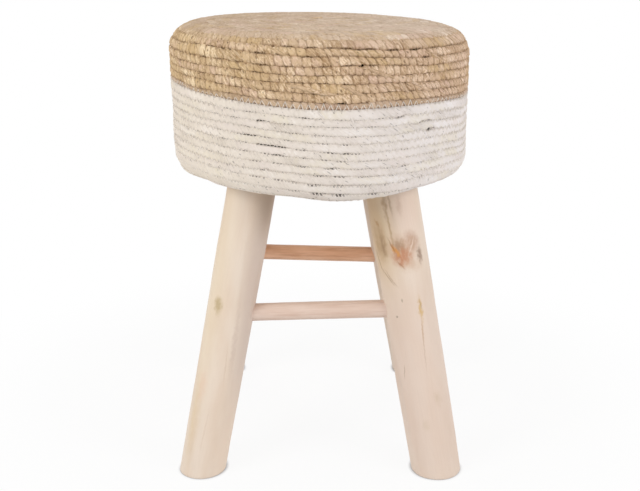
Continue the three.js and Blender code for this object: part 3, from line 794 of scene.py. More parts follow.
# Hand winding makes each seam stray from its steady line. These are the strays
# on the front, in tenths of a millimetre down the seat, for the seam above each
# turn, at these angles in turns round from the right.
STRAY_ANGLES = np.array([0.54, 0.58, 0.62, 0.66, 0.70, 0.74, 0.78, 0.82, 0.86, 0.90, 0.94])
STRAYS = {
    14: (0, 0, 0, 0, 4, 8, 8, 6, 8, 8, 8),
    16: (-4, -6, -8, 0, 8, 14, 10, 16, 18, 20, 24),
    18: (-4, -8, -10, 0, 10, 15, 15, 33, 32, 28, 39),
    19: (-2, -4, -23, -6, 5, 16, 2, 18, 26, 28, 30),
    20: (0, 4, 6, 6, 24, 23, 2, 2, 20, 25, 34),
    21: (2, 6, 8, -4, 17, 23, 4, 17, 16, 15, 30),
    22: (-4, 0, 0, -3, 14, 5, 14, 2, 16, 27, 42),
    23: (-14, -12, -14, 6, 12, 26, 21, 9, 10, 24, 44),
    24: (-20, -12, 4, -3, 14, 27, 33, 8, 16, 22, 36),
    25: (-54, -50, -35, -20, -1, 15, 10, -5, -12, -8, 8),
    26: (-50, -42, -31, -11, -6, 16, 30, 15, 1, 6, 34),
    27: (-46, -40, -27, -19, -11, 13, 17, 17, 1, 18, 37),
    28: (-42, -36, -25, -36, -7, 13, 28, 26, 5, 23, 44),
    29: (-50, -46, -45, -23, -17, 11, 23, 18, 2, 13, 36),
    30: (-44, -42, -37, -30, -21, 7, 33, 18, 5, 20, 46),
    31: (-48, -46, -42, -25, -20, -1, 24, 21, 5, 11, 44),
    32: (-46, -44, -40, -21, -21, -2, 12, 18, 5, 2, 36),
    33: (-46, -44, -41, -23, -24, -11, 3, 12, 7, 9, 34),
    34: (-46, -46, -44, -38, -35, -5, -1, 3, -8, 3, 26),
    35: (-40, -40, -38, -34, -28, -14, 0, 12, 12, 10, 16),
    36: (-20, -20, -20, -18, -14, -6, 0, 6, 6, 6, 8),
    38: (0,) * 11,
}
stray_turns = np.array([number + angle for number in STRAYS for angle in STRAY_ANGLES])
stray_lengths = np.array([stray for strays in STRAYS.values() for stray in strays]) * 0.0001
# Where two turns stand apart and the lining shows: the seam, from and to in
# thousandths of a turn, and how far each rope draws back in tenths of a
# millimetre.
GAPS = [
    (18, 703, 709, 5), (18, 784, 796, 3), (18, 842, 857, 4), (19, 812, 817, 4), (19, 858, 864, 5),
    (20, 786, 793, 9), (22, 862, 868, 3), (24, 765, 776, 3), (26, 733, 741, 1), (26, 827, 841, 6),
    (27, 688, 700, 3), (27, 851, 867, 6), (28, 680, 685, 3), (28, 723, 727, 2), (28, 860, 874, 8),
    (29, 672, 690, 1), (30, 687, 719, 2), (31, 703, 714, 2), (30, 770, 780, 1), (32, 758, 766, 1),
    (32, 830, 837, 2), (33, 694, 702, 1), (26, 100, 118, 4), (29, 222, 241, 4), (31, 404, 418, 3),
    (28, 310, 322, 4), (20, 160, 168, 6), (22, 366, 377, 5), (33, 30, 46, 3), (27, 955, 966, 2), (30, 508, 518, 2),
]
GAPS = [(seam, seam + start / 1000, seam + end / 1000, back / 10000) for seam, start, end, back in GAPS]
GAP_FADE = 0.0022


def slow_noise(place, length, seed):
    """Smooth uneven values from -1 to 1 along a rope, one wave about every length."""
    chance = np.random.default_rng(seed)
    total = np.zeros_like(place)
    for octave in range(4):
        wave = 2 * np.pi * place / (length * chance.uniform(0.55, 1.8))
        total += chance.uniform(0.35, 0.6) * np.sin(wave + chance.uniform(0, 2 * np.pi))
    return np.clip(total, -1, 1)


def seam(turns):
    """How far down the section the seam above a turn of rope lies."""
    steady = EYE + ROPE_PITCH * (turns - 0.5)
    stray = np.interp(turns, stray_turns, stray_lengths)
    stray = stray + 0.00016 * slow_noise(turns, 0.035, 21) * np.clip((turns - 12) / 4, 0.3, 1)
    at_back = np.clip(np.sin(2 * np.pi * turns), 0, 1)
    at_back = at_back * np.clip((turns - 14) / 3, 0, 1) * np.clip((37.5 - turns) / 3, 0, 1)
    return steady + stray + 0.0006 * at_back * slow_noise(turns, 0.21, 22)


def within(turns, start, end):
    """1 inside a stretch of a seam and 0 outside it, with short ends between."""
    return np.clip(np.minimum(turns - start, end - turns) / GAP_FADE, 0, 1)


def facing_aside(turns):
    """Most at the front left and front right, where the ropes lie closest; nothing at the back."""
    return np.cos(2 * np.pi * turns) ** 2 * np.clip(-7 * np.sin(2 * np.pi * turns), 0, 1)


def drawn_back(turns):
    """How far each of two turns draws back from their seam; less than nothing where they press together."""
    pressed = np.interp(
        turns, [0, 16.4, 17.8, 18.68, 18.73, 25.0, 25.25, 26.2, 26.4, 34, 38],
        [-2.5, -2.5, -1.9, -1.4, -0.60, -0.60, -0.45, -0.45, -1.15, -1.15, -0.7]) * 0.001
    pressed = pressed * (1 + 0.4 * slow_noise(turns, 0.045, 31)) - 0.0011 * facing_aside(turns) * (turns > 26.3)
    for _, start, end, back in GAPS:
        pressed = pressed + (back - pressed) * within(turns, start, end)
    return pressed


def seam_shadow(turns):
    """How dark the dust and shade in a seam look: faint on the top, the rim and where the ropes lie closest."""
    dark = np.interp(
        turns, [0, 16, 18.68, 18.73, 18.90, 19.0, 25.0, 25.25, 26.2, 26.4, 38],
        [0.03, 0.04, 0.12, 1.30, 1.20, 0.80, 0.80, 1.20, 1.20, 0.90, 0.60])
    on_white = turns > WHITE_START - 0.25
    share = np.where(on_white, 0.96, np.where(np.cos(2 * np.pi * turns) > 0, 0.80, 0.35))
    aside = facing_aside(turns) ** np.where(on_white, 0.6, 1.0)
    dark = dark * (0.66 + 1.0 * slow_noise(turns, 0.016, 41)) * (1 - aside * share)
    for number, start, end, _ in GAPS:
        dark = dark + 1.5 * within(turns, start, end) * (number > WHITE_START)
    return np.clip(dark, 0, 2.5)


THREAD_STITCH = 0.0069
THREAD_REACH = 0.0024
EDGE_REACH = 0.0047
seam_turns = np.linspace(0.3, 38.6, 60001)


def lengths_along(points, turns):
    """How far round the seat a line has gone at each of its points."""
    radius = np.linalg.norm(points[:, :2], axis=1)
    return np.concatenate([[0], np.cumsum(np.pi * (radius[1:] + radius[:-1]) * np.diff(turns))])


seam_length = lengths_along(seat_skin(seam(seam_turns), seam_turns)[0], seam_turns)


def sewn(turns):
    """How many stitches of thread have been sewn along the seam by a turn."""
    length = np.interp(turns, seam_turns, seam_length)
    return length / THREAD_STITCH + 0.14 * slow_noise(length, 0.05, 51)


def thread_reach(turns):
    """How far the thread reaches up from the seam: furthest where white meets natural, at the front."""
    further = np.interp(
        turns, [25.24, 25.25, 25.66, 25.69, 25.84, 25.90, 26.25, 26.26], [0, 0.3, 0.3, 1, 1, 0.3, 0.3, 0])
    return further * (EDGE_REACH - THREAD_REACH) + THREAD_REACH


def line_mesh(name, points, strands=1):
    """A mesh of points joined into as many equal strands."""
    last = len(points) // strands
    mesh = bpy.data.meshes.new(name)
    mesh.from_pydata(points.tolist(), [(i, i + 1) for i in range(len(points)) if (i + 1) % last], [])
    return mesh


laid_ropes = []


def winding(first, last, pinch, wildness, bead, lean_mean, squareness, seed):
    """The stations of a rope wound from one turn to another, as a line with what each station needs."""
    turns = np.linspace(first, last, 20001)
    travelled = lengths_along(seat_skin((seam(turns) + seam(turns + 1)) / 2, turns)[0], turns)
    chance = np.random.default_rng(seed)
    count = int(travelled[-1] / bead)
    lengths = chance.normal(1, 0.13, count).clip(0.6, 1.5)
    edges = np.concatenate([[0], np.cumsum(lengths)]) * travelled[-1] / lengths.sum()
    place = (edges[:-1, None] + np.diff(edges)[:, None] * BEAD_SHARES).ravel()
    place = np.append(place, travelled[-1])
    cell = np.append(np.repeat(np.arange(count), len(BEAD_SHARES)), count - 1)
    beat = np.append((np.arange(count)[:, None] + BEAD_SHARES).ravel(), count)
    after = np.append(np.tile(BEAD_SHARES >= 0.5, count), True)
    at = np.interp(place, travelled, turns)
    top = seam(at) + drawn_back(at)
    bottom = seam(at + 1) - drawn_back(at + 1)
    points, outward, down, forward = seat_skin((top + bottom) / 2, at)
    # The beads: pinched in between, standing proud, leaning, and of many tones.
    tightness = np.append(chance.uniform(0.45, 1.25, count), 1.0)
    tightness = tightness[np.where(after, np.minimum(cell + 1, count), cell)]
    pinched = np.append(np.tile(BEAD_PINCH, count), 1.0) * tightness
    worn = np.interp(at, [0, *WORN_TURNS], [1, 1, 0])
    proud = (chance.normal(0, 0.00018, count)[cell] + 0.00020 * slow_noise(place, 0.08, seed + 5)) * wildness
    way_round = np.interp((edges[:-1] + edges[1:]) / 2, travelled, turns) % 1
    lean = np.interp(way_round, [0, 0.56, 0.62, 0.73, 0.80, 0.94, 1], [1, 0.9, 0.30, 0.45, 1.25, 1.25, 1])
    lean = lean * lean_mean * (1 + 0.8 * slow_noise(edges[:-1], 0.26, seed + 1))
    lean = lean + chance.normal(0, 0.0005, count) * wildness
    lean = np.interp(beat, np.arange(count) + 0.5, lean)
    tone = 0.5 + 0.16 * slow_noise(place, 0.07, seed + 2) + chance.normal(0, 0.075, count)[cell] * wildness**2
    hue = 0.5 + 0.26 * slow_noise(place, 0.12, seed + 3) + chance.normal(0, 0.07, count)[cell]
    tucked = np.clip(np.minimum(place, travelled[-1] - place) / 0.006, 0.25, 1)
    half = (bottom - top) / 2 * (1 - 0.06 * pinched * (1 - worn) * min(1, pinch / 0.3))
    deep = (ROPE_DEPTH + proud * (1 - 0.5 * worn)) * (1 - pinch * (1 - 0.75 * worn) * pinched) * tucked
    laid_ropes.append((at, deep, squareness))
    mesh = line_mesh("rope stations", points)
    shadow_above = seam_shadow(at) * np.where((at > WHITE_START - 0.05) & (at < WHITE_START + 1), 0.15, 1)
    keep(
        mesh, outward=outward, down=down, forward=forward, half_width=half * tucked, half_depth=deep,
        lean=lean, place=place, beat=beat,
        braid=np.stack([tone.clip(0, 1), hue.clip(0, 1), (pinched * (1 - 0.5 * worn)).clip(0, 1)], -1),
        shadows=np.stack([shadow_above, seam_shadow(at + 1), worn], -1),
        thread=np.stack([sewn(at), sewn(at + 1), thread_reach(at + 1) * 1000], -1),
        edges=np.stack([half, -drawn_back(at), -drawn_back(at + 1)], -1) * 1000)
    return mesh


(stations, face_steps, back_steps, squareness, inner_depth, strand_height, strand_scale, strand_turn,
 husk) = new_form(
    "coiled rope", Face_steps="Int", Back_steps="Int", Squareness="Float", Inner_depth="Float",
    Strand_height="Float", Strand_scale="Float", Strand_turn="Float", Husk="Material")
here = put("InputPosition")
path = kept_on(put("MeshToCurve", Mesh=stations), "middle", here, "FLOAT_VECTOR")
number = put("InputIndex")
on_face = reckon("MINIMUM", number, face_steps) / face_steps
on_back = reckon("MAXIMUM", number - face_steps, 0.0) / back_steps
round_ring = (on_face + on_back) * math.pi
squared = []
for way in ("COSINE", "SINE"):
    side = reckon(way, round_ring)
    squared.append(reckon("POWER", abs(side), squareness) * reckon("SIGN", side))
ring = moved(put("MeshLine", Count=face_steps + back_steps), Position=together(*squared))
ring = put("SetSplineCyclic", Geometry=put("MeshToCurve", Mesh=ring), Cyclic=True)
for name, value in zip(("across", "proud"), apart(here)):
    ring = kept_on(ring, name, value)
rope = swept(path, ring)
across, proud, place = found("across"), found("proud"), found("place")
face = reckon("MAXIMUM", proud, 0.0)
sideways = across * ROPE_HALF
turn_cos, turn_sin = reckon("COSINE", strand_turn), reckon("SINE", strand_turn)
with_strand = place * turn_cos + sideways * turn_sin
over_strand = sideways * turn_cos + place * turn_sin * -1.0
strand = cloud(together(with_strand * 0.3, over_strand), strand_scale, 1.0) - 0.5
height = face * found("half_depth") + reckon("MINIMUM", proud, 0.0) * inner_depth
height = strand * strand_height * face + height
skin = found("middle", "FLOAT_VECTOR")
for way, share in (
        ("down", across * found("half_width")), ("outward", height), ("forward", across * found("lean"))):
    skin = plus(skin, times(found(way, "FLOAT_VECTOR"), share))
rope = kept_on(moved(rope, Position=skin), "UVMap", together(place, sideways), "FLOAT2", "CORNER")
for name in ("middle", "outward", "down", "forward", "half_width", "half_depth", "lean", "place", "proud"):
    rope = put("RemoveAttribute", Geometry=rope, Name=name)
rope_form = close_form(smooth(rope), husk)


def slanted(place, long, wide, turn):
    """Stretches a pattern along a slanting way."""
    turned = together(z=turn)
    return put("Mapping", Vector=place, Rotation=turned, Scale=(long, wide, 1), vector_type="TEXTURE")


def swing(stitches):
    """The thread's swing from side to side, from -1 to 1, once for each stitch."""
    return abs(reckon("FRACT", stitches) - 0.5) * -4.0 + 1.0


def husk_finish(name, tones, worn_tones, painted_light_tints, worn_painted_light_tints, pink, green, crease_dust_and_shade_colour, gap, crease_dust_and_shade_share, seam_share,
                strand_share, seam_width=1.2, dotted=0.0, hole_share=0.75, bumpy=0.8, strand_turn=STRAND_TURN):
    """Dry husk: fibres that slant across each bead, dark with dust and painted shade in the creases, in the
    stitches' grooves and between the turns, and painted light that is warmer on the left and cooler on the right."""
    finish = new_finish(name, 0.82, 0.2)
    tone, hue, pinched = apart(read("braid"))
    shadow_above, shadow_below, worn = apart(read("shadows"))
    stitches_above, stitches_below, reach_below = apart(read("thread"))
    half_width, back_above, back_below = apart(read("edges"))
    across = read("across", "Fac")
    from_above = (across + 1.0) * half_width - back_above
    from_below = (1.0 - across) * half_width - back_below
    lay = put("UVMap", uv_map="UVMap")
    # The fibres: broad strands, and hairs along them.
    slant = worn * (-0.65 * strand_turn) + strand_turn
    strand = cloud(slanted(lay, 4, 1, slant), 620, 2, 0.6, 0.2)
    hair = cloud(slanted(lay, 5, 1, slant * 0.8), 1700, 2, 0.6)
    fleck = cloud(lay, 620, 1)
    patch = cloud(lay, 210, 2)
    fibres = (strand - 0.5) * (1.7 * strand_share) + (hair - 0.5) * (1.1 * strand_share)
    fibres = (fleck - 0.5) * (0.9 * strand_share) + fibres
    fibres = fibres * fade(cloud(lay, 34, 1), 0.40, 0.60, 0.45, 1.0)
    tone = fibres * (worn * -0.15 + 1.0) + tone
    # Painted light: by the object's x the colour is tinted warm on the left and cooler and brighter on the right,
    # as the left and right lamps light it; on the worn top the left is also painted darker.
    right = fade(apart(put("TexCoord", want="Object"))[0], -0.14, 0.15)
    laid = []
    for (dark, middle, bright), (left_painted_light, right_painted_light) in ((tones, painted_light_tints), (worn_tones, worn_painted_light_tints)):
        toned = stain(fade(tone, 0.5, 1.0), stain(fade(tone, 0.0, 0.5), dark, middle), bright)
        laid.append(stain(1.0, toned, stain(right, (*left_painted_light, 1), (*right_painted_light, 1)), "MULTIPLY"))
    colour = stain(worn, *laid)
    tinge = (patch - 0.5) * 0.7 + hue
    colour = stain(fade(tinge, 0.54, 1.0, 0, 0.50), colour, pink)
    colour = stain(fade(tinge, 0.44, 0.0, 0, 0.55), colour, green)
    # The creases between beads, with their corners open at the seams, darkened with dust and painted shade.
    ragged = (strand - 0.5) * 1.6 + abs(reckon("FRACT", read("beat", "Fac") + 0.5) - 0.5) * (BEAD * 1000)
    crease_dust_and_painted_shade = fade(ragged, 1.0, 0.0) * fade(patch, 0.36, 0.58, 0.25, 1.0) * crease_dust_and_shade_share
    crease_dust_and_painted_shade = crease_dust_and_painted_shade + fade(pinched, 0.25, 1.2, 0, 0.35 * crease_dust_and_shade_share)
    corner = fade(reckon("MINIMUM", from_above, from_below), 1.6, 0.2) * fade(ragged, 1.9, 0.5)
    crease_dust_and_painted_shade = corner * (worn * -0.45 + 0.5) * crease_dust_and_shade_share + crease_dust_and_painted_shade
    crease_dust_and_painted_shade = clamped(crease_dust_and_painted_shade * (worn * -0.55 + 1.0))
    # The grooves that the thread has pulled in, from the seam above and the one below, darkened with the same dust
    # and painted shade as the creases.
    grooves, seams = [], []
    for stitches, from_edge, reach, shadow in (
            (stitches_above, from_above, THREAD_REACH * -1000, shadow_above),
            (stitches_below, from_below, reach_below, shadow_below)):
        swung = swing(stitches)
        inward = swung * reach
        grooves.append(fade(abs(from_edge - inward), 1.0, 0.25) * fade(inward, -0.2, 0.5))
        dots = fade(abs(swung), 0.22, 0.66, 1.0 - dotted, 1.0)
        seams.append(fade(from_edge, seam_width, 0.1) * dots * shadow)
    groove = reckon("MAXIMUM", *grooves) * (worn * -0.85 + 1.0)
    crease_dust_and_painted_shade = clamped(groove * (0.35 * crease_dust_and_shade_share) + crease_dust_and_painted_shade)
    colour = stain(crease_dust_and_painted_shade, colour, crease_dust_and_shade_colour)
    # Dust and painted shade between the turns, and small dark holes in the weave.
    shade = clamped((seams[0] + seams[1]) * fade(patch, 0.30, 0.60, 0.35, 1.0))
    colour = stain(shade * seam_share, colour, gap)
    holes = fade(cloud(slanted(lay, 1.6, 1, strand_turn), 420, 0), 0.735, 0.79, 0, hole_share)
    colour = stain(holes * (worn * -0.35 + seam_share), colour, gap)
    # Where the thread's white triangles show, a dark speck of painted shade lies inside each.
    on_edge = fade(reach_below, THREAD_REACH * 1000 + 0.2, THREAD_REACH * 1000 + 0.7)
    colour = stain(on_edge * 0.40, colour, paint(176, 152, 136))
    speck = fade(swing(stitches_below), 0.30, 0.75) * fade(from_below, 1.9, 0.7) * on_edge
    colour = stain(speck * fade(patch, 0.34, 0.60, 0.10, 0.68), colour, paint(104, 78, 76))
    raised = fleck * 0.5 + (hair * 0.4 + strand)
    raised = groove * -0.5 + raised
    raised = fade(ragged, 1.2, 0.0) * (-0.7 * min(1.0, crease_dust_and_shade_share * 1.4)) + raised
    return cover(finish, colour, raised, 0.0011, bumpy)


HUSK_TONES = (paint(166, 134, 98), paint(206, 176, 142), paint(238, 213, 183))
WORN_TONES = (paint(174, 146, 118), paint(205, 181, 156), paint(229, 210, 189))
# Painted light tints, left and right: warm light on the left side, cooler and brighter light on the right.
HUSK_PAINTED_LIGHT_TINTS = ((1.06, 1.08, 1.01), (1.04, 1.04, 1.14))
WORN_PAINTED_LIGHT_TINTS = ((0.95, 0.93, 0.90), (1.07, 1.11, 1.19))
# The crease colour stands for dust and painted shade in the creases and grooves.
HUSK_CREASE_DUST_AND_SHADE = paint(138, 104, 70)
# The gap colour stands for dust and painted shade between the turns, and for the dark holes.
HUSK_GAP = paint(84, 56, 32)
natural_husk = husk_finish(
    "natural husk", HUSK_TONES, WORN_TONES, HUSK_PAINTED_LIGHT_TINTS, WORN_PAINTED_LIGHT_TINTS, paint(220, 188, 170), paint(206, 174, 124),
    HUSK_CREASE_DUST_AND_SHADE, HUSK_GAP, crease_dust_and_shade_share=0.50, seam_share=0.82, strand_share=1.15, seam_width=0.75, dotted=0.45)
ROPE = dict(
    Face_steps=7, Back_steps=3, Squareness=SQUARENESS, Inner_depth=0.0030, Strand_height=0.0007,
    Strand_scale=520.0, Strand_turn=STRAND_TURN, Husk=natural_husk)
TOP_SQUARENESS = 0.52
coil = winding(TOP_START, TOP_END, 0.28, 1.0, BEAD, 0.0018, TOP_SQUARENESS, 301)
shape = {**ROPE, "Squareness": TOP_SQUARENESS, "Strand_height": 0.0004}
top = make_piece("natural_rope_coil", rope_form, coil, **shape)
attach(top, "root")
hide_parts("natural_rope_top")
coil = winding(TOP_END, WHITE_START, 0.28, 1.0, BEAD, 0.0014, SQUARENESS, 402)
upper = make_piece("natural_rope_band", rope_form, coil, **ROPE)
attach(upper, "root")
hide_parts("natural_rope_side")


# Where one length of husk ran out, the braider laid in the next, and its end
# lies slantwise over the turns. Each is a flat strand of the same husk, thick
# in the middle and tucked in at both ends. The last three close the eye of
# the top and cover the joint with the white rope at the back. For each strand:
# the turn and the way along where it starts and where it ends, and its half
# width, all in ten-thousandths of a turn or in tenths of a millimetre.
LAID_IN = [
    (6450, 1535, 6680, 1628, 17), (6530, 1530, 6740, 1622, 17), (6610, 1534, 6800, 1612, 16),
    (7170, 1808, 7670, 1885, 26), (7900, 1654, 8290, 1752, 24), (8430, 1800, 8710, 1890, 25),
    (8290, 1796, 8410, 1883, 20), (7690, 1805, 7940, 1893, 22), (6760, 1780, 6920, 1876, 20),
    (7000, 1500, 7220, 1560, 19), (8600, 1540, 8840, 1610, 19), (400, 1640, 700, 1740, 25),
    (1180, 1800, 1500, 1890, 25), (2050, 1560, 2320, 1655, 22), (2720, 1830, 3050, 1905, 25),
    (3400, 1650, 3680, 1740, 22), (4150, 1800, 4400, 1885, 24), (4700, 1570, 5000, 1660, 24),
    (5650, 1720, 5900, 1810, 22), (3000, 55, 3000, -55, 42), (6000, 70, 6000, -50, 48),
    (2385, 1984, 2630, 2000, 44),
]
STRAND_STATIONS = 16


def lay_in(name, laid, tones, height, finish):
    """Lays flat strands of husk over the turns."""
    share = np.linspace(0, 1, STRAND_STATIONS)
    fullness = np.sin(np.pi * share) ** 0.55
    slide = share * share * (3 - 2 * share)
    rows = []
    for number, (turn, along, last_turn, last_along, width) in enumerate(np.array(laid) / 10000):
        alongs, turns = along + (last_along - along) * slide, turn + (last_turn - turn) * share
        points, outward, _, _ = seat_skin(alongs, turns)
        way = np.gradient(points, axis=0)
        way /= np.linalg.norm(way, axis=1)[:, None]
        step = np.linalg.norm(points[-1] - points[0]) / (STRAND_STATIONS - 1)
        placed = number * 0.1 + step * np.arange(STRAND_STATIONS)
        wide, deep = width * (0.35 + 0.65 * fullness), height + 0.0015 * fullness
        rows.append((points, outward, np.cross(way, outward), way, wide, deep, placed))
    points, outward, down, forward, wide, deep, place = (np.concatenate(kept) for kept in zip(*rows))
    strands = line_mesh(name, points, len(laid))
    count = len(points)
    braid = np.repeat(np.random.default_rng(77).uniform(*tones, (len(laid), 3)), STRAND_STATIONS, 0)
    keep(
        strands, outward=outward, down=down, forward=forward, half_width=wide, half_depth=deep, place=place,
        braid=braid, shadows=np.tile([0.8, 0.8, 0.0], (count, 1)), edges=np.tile([2.2, 0.0, 0.0], (count, 1)),
        thread=np.zeros((count, 3)), beat=np.full(count, 0.5), lean=np.zeros(count))
    shape = {**ROPE, "Squareness": 0.7, "Strand_height": 0.0006, "Strand_turn": 0.1, "Husk": finish}
    piece = make_piece(name, rope_form, strands, **shape)
    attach(piece, "root")


strand_husk = husk_finish(
    "laid in husk", HUSK_TONES, WORN_TONES, HUSK_PAINTED_LIGHT_TINTS, WORN_PAINTED_LIGHT_TINTS, paint(214, 176, 142), paint(206, 170, 116),
    HUSK_CREASE_DUST_AND_SHADE, HUSK_GAP, crease_dust_and_shade_share=0.0, seam_share=0.65, strand_share=1.35, seam_width=1.4, strand_turn=0.1)
tones = ([0.34, 0.36, 0], [0.58, 0.70, 0])
lay_in("laid_in_strands", LAID_IN, tones, ROPE_DEPTH - 0.0008, strand_husk)


# The white rope is the same husk, bleached and twisted more softly. It is
# coiled on from the natural rope's end down to the tuck under the plate.
WHITE_BEAD = 0.0125
WHITE_SQUARENESS = 0.58
WHITE_END = 37.25
WHITE_TONES = (paint(194, 182, 167), paint(222, 211, 197), paint(235, 227, 216))
# Painted light tints for the white rope, left and right: warm on the left, cooler and brighter on the right.
WHITE_PAINTED_LIGHT_TINTS = ((1.055, 1.05, 1.045), (1.045, 1.08, 1.215))
WHITE = (WHITE_TONES, WHITE_TONES, WHITE_PAINTED_LIGHT_TINTS, WHITE_PAINTED_LIGHT_TINTS, paint(226, 213, 206), paint(224, 213, 190))
# The white crease colour stands for dust and painted shade in the creases and grooves; the dark gap colour below
# is dust and painted shade between the turns.
WHITE_CREASE_DUST_AND_SHADE = paint(200, 188, 172)
white_husk = husk_finish(
    "white husk", *WHITE, WHITE_CREASE_DUST_AND_SHADE, paint(62, 54, 48), crease_dust_and_shade_share=0.08, seam_share=0.96, strand_share=0.52,
    seam_width=0.66, dotted=0.94, hole_share=0.45, bumpy=0.4)
coil = winding(WHITE_START, WHITE_END, 0.06, 0.7, WHITE_BEAD, 0.0030, WHITE_SQUARENESS, 503)
shape = {**ROPE, "Squareness": WHITE_SQUARENESS, "Strand_height": 0.0004, "Husk": white_husk}
lower = make_piece("white_rope_band", rope_form, coil, **shape)
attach(lower, "root")
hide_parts("white_rope_side")
# Its laid in strands are few and short.
WHITE_LAID_IN = [
    (6965, 2590, 7065, 2680, 18), (7790, 2065, 7870, 2225, 15), (7480, 2045, 7570, 2100, 14),
    (7015, 2705, 7100, 2800, 16), (6330, 2020, 6430, 2110, 16), (8600, 2250, 8700, 2350, 14),
    (1000, 2300, 1120, 2400, 16), (3000, 2150, 3110, 2260, 15), (4500, 2450, 4590, 2560, 16),
]
white_strand_husk = husk_finish(
    "laid in white husk", *WHITE, WHITE_CREASE_DUST_AND_SHADE, paint(120, 106, 92), crease_dust_and_shade_share=0.0, seam_share=0.55,
    strand_share=0.7, hole_share=0.2, bumpy=0.5, strand_turn=0.1)
tones = ([0.35, 0.40, 0], [0.75, 0.75, 0])
lay_in("white_laid_in_strands", WHITE_LAID_IN, tones, ROPE_DEPTH - 0.0011, white_strand_husk)


# A machine has sewn each turn to the one before with a zigzag thread, straw
# brown on the natural rope and white from the first white turn on, where its
# white triangles show on the last natural turn. It dips into the husk at every
# point of the zigzag, bridges the seam, and breaks its dark line into dots.
LEG_SHARES = np.array([0.0, 0.16, 0.5, 0.84])
THREAD_SINK = 0.0007
BRIDGE_SHARE = 0.80
line, sides, radius, cord = new_form("zigzag thread", Sides="Int", Radius="Float", Thread="Material")
path = put("MeshToCurve", Mesh=line)
ring = put("CurvePrimitiveCircle", Resolution=sides, Radius=radius)
thread_form = close_form(smooth(swept(path, ring)), cord)


def rope_height(turns, into):
    """How high the rope of a turn stands at a distance in from its edge."""
    depth, squareness = np.zeros_like(turns), np.full_like(turns, SQUARENESS)
    for at, deep, its_squareness in laid_ropes:
        inside = (turns >= at[0]) & (turns <= at[-1])
        depth = np.where(inside, np.interp(turns, at, deep), depth)
        squareness[inside] = its_squareness
    from_middle = np.clip(1 - into / ROPE_HALF, 0, 1)
    return depth * (1 - from_middle ** (2 / squareness)) ** (squareness / 2), depth


def zigzag(first, last, lift, seed):
    """The line of the thread along the seam from one turn to another."""
    chance = np.random.default_rng(seed)
    stitches = sewn(seam_turns)
    start, end = (np.interp(turn, seam_turns, stitches) * 2 for turn in (first, last))
    legs = np.arange(math.ceil(start), int(end))
    phase = ((legs[:, None] + LEG_SHARES) / 2).ravel()
    turns = np.interp(phase, stitches, seam_turns)
    swung = 1 - 4 * np.abs(phase - np.floor(phase) - 0.5)
    uneven = np.repeat(chance.normal(1, 0.18, len(legs)), len(LEG_SHARES))
    up, low = thread_reach(turns), THREAD_REACH
    offset = -((up + low) / 2 * swung + (up - low) / 2) * uneven
    into = np.abs(offset) - drawn_back(turns)
    height, depth = rope_height(np.where(offset < 0, turns - 1, turns), into)
    _, other = rope_height(np.where(offset < 0, turns, turns - 1), into)
    bridge = BRIDGE_SHARE * np.minimum(depth, other)
    points, outward, _, _ = seat_skin(seam(turns) + offset, turns)
    lift = lift - 0.0005 * np.interp(turns, WORN_TURNS, [1, 0])
    at_point = np.abs(swung) > 0.99
    height = np.where(at_point, height - THREAD_SINK, np.maximum(height + lift, bridge))
    return line_mesh("thread line", points + outward * height[:, None])


def thread_finish(name, pale, dark):
    finish = new_finish(name, 0.7, 0.3)
    place = put("TexCoord", want="Object")
    ply = cloud(place, 1500, 2)
    colour = stain(fade(ply, 0.4, 0.7, 0, 0.6), pale, dark)
    colour = stain(fade(cloud(place, 60, 3), 0.5, 0.75, 0, 0.6), colour, dark)
    return cover(finish, colour, ply, 0.0002, 0.5)


straw_thread = thread_finish("straw thread", paint(206, 178, 142), paint(176, 144, 108))
white_thread = thread_finish("white thread", paint(234, 226, 216), paint(214, 204, 193))
straw_line = zigzag(1.0, WHITE_START, 0.00002, 611)
white_line = zigzag(WHITE_START, WHITE_END - 0.05, 0.00012, 612)
for name, slot, radius, finish, line in (
        ("natural_thread", "natural_husk", 0.00020, straw_thread, straw_line),
        ("white_thread", "white_husk", 0.00034, white_thread, white_line)):
    thread = make_piece(name, thread_form, line, Sides=4, Radius=radius, Thread=finish)
    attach(thread, "root")


# The stool stands on a plain white floor. What the camera sees of the floor is white, but for the shadow at the
# feet.
def seen_plainly():
    """1 where a ray comes from the camera, or by way of a mirror or a glass, and 0 for other light."""
    camera, glossy, glass = (
        put("LightPath", want=f"Is {kind} Ray") for kind in ("Camera", "Glossy", "Transmission"))
    return clamped(clamped(camera + glossy) + glass)


floor_mesh = bpy.data.meshes.new("studio floor")
floor_mesh.from_pydata([(-6, -6, 0), (6, -6, 0), (6, 6, 0), (-6, 6, 0)], [], [(0, 1, 2, 3)])
floor = stand("studio_floor", floor_mesh)
floor_finish = bpy.data.materials.new("white floor")
floor_finish.use_nodes = True
tree = floor_finish.node_tree
tree.nodes.clear()
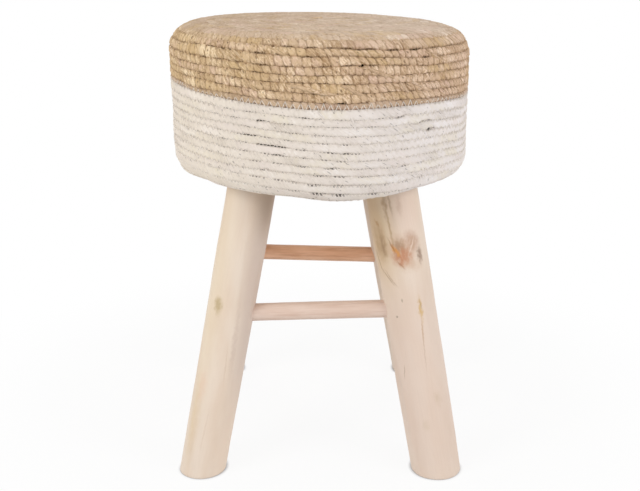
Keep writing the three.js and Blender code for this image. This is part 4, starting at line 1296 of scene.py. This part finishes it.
# Painted shadow: the white that the camera sees glows, and is darkened by ambient occlusion round the feet; only
# the faint matt share of the floor takes a real shadow.
near = put("AmbientOcclusion", want="AO", Distance=0.0055, samples=16)
white = stain(fade(near, 0.25, 0.9), paint(150, 144, 140), (1, 1, 1, 1))
glow = put("Emission", Color=white, Strength=1.0)
matt = put("BsdfDiffuse", Color=(0.86, 0.86, 0.86, 1))
away = put("VectorMath", put("TexCoord", want="Object"), want="Value", operation="LENGTH")
mixed = put("MixShader", seen_plainly() * fade(away, 0.25, 0.55, 0.90, 1.0), matt, glow)
put("OutputMaterial", want=None, Surface=mixed)
floor_mesh.materials.append(floor_finish)


# Plain soft studio light: an even white surround, a broad lamp at the front
# left and above, a weaker one at the right, and a small one over the top.
SURROUND = 0.62
world = bpy.data.worlds.new("studio")
bpy.context.scene.world = world
world.use_nodes = True
tree = world.node_tree
tree.nodes.clear()
strength = seen_plainly() * (1.0 - SURROUND) + SURROUND
put("OutputWorld", want=None, Surface=put("Background", Color=(1, 1, 1, 1), Strength=strength))
for name, place, aim, power in (
        ("front left lamp", (-1.9, -1.4, 1.5), (0, 0, 0.3), 26),
        ("right lamp", (1.9, -1.2, 1.1), (0, 0, 0.35), 19),
        ("top lamp", (-0.2, 0.4, 2.4), (0, 0, 0.4), 4.5)):
    lamp = bpy.data.lights.new(name, "AREA")
    lamp.shape = "SQUARE"
    lamp.size = 1.2
    lamp.energy = power
    holder = stand(name, lamp)
    x, y, z = np.array(aim, float) - np.array(place, float)
    holder.location = place
    holder.rotation_euler = (math.atan2(math.hypot(x, y), -z), 0, math.atan2(y, x) - math.pi / 2)


# The camera stands a metre in front of the stool and looks down on it by 18
# degrees, through a lens that was fitted to the photo.
CAMERA_PLACE = (0, -1.0, 0.5316)
CAMERA_TILT = 0.316
bpy.context.scene.view_settings.view_transform = "Standard"
lens = bpy.data.cameras.new("photograph")
lens.sensor_width = 36
lens.lens = 53.62
lens.shift_x = 0.00166
camera = stand("photograph", lens)
camera.location = CAMERA_PLACE
camera.rotation_euler = (math.pi / 2 - CAMERA_TILT, 0, 0)
bpy.context.scene.camera = camera
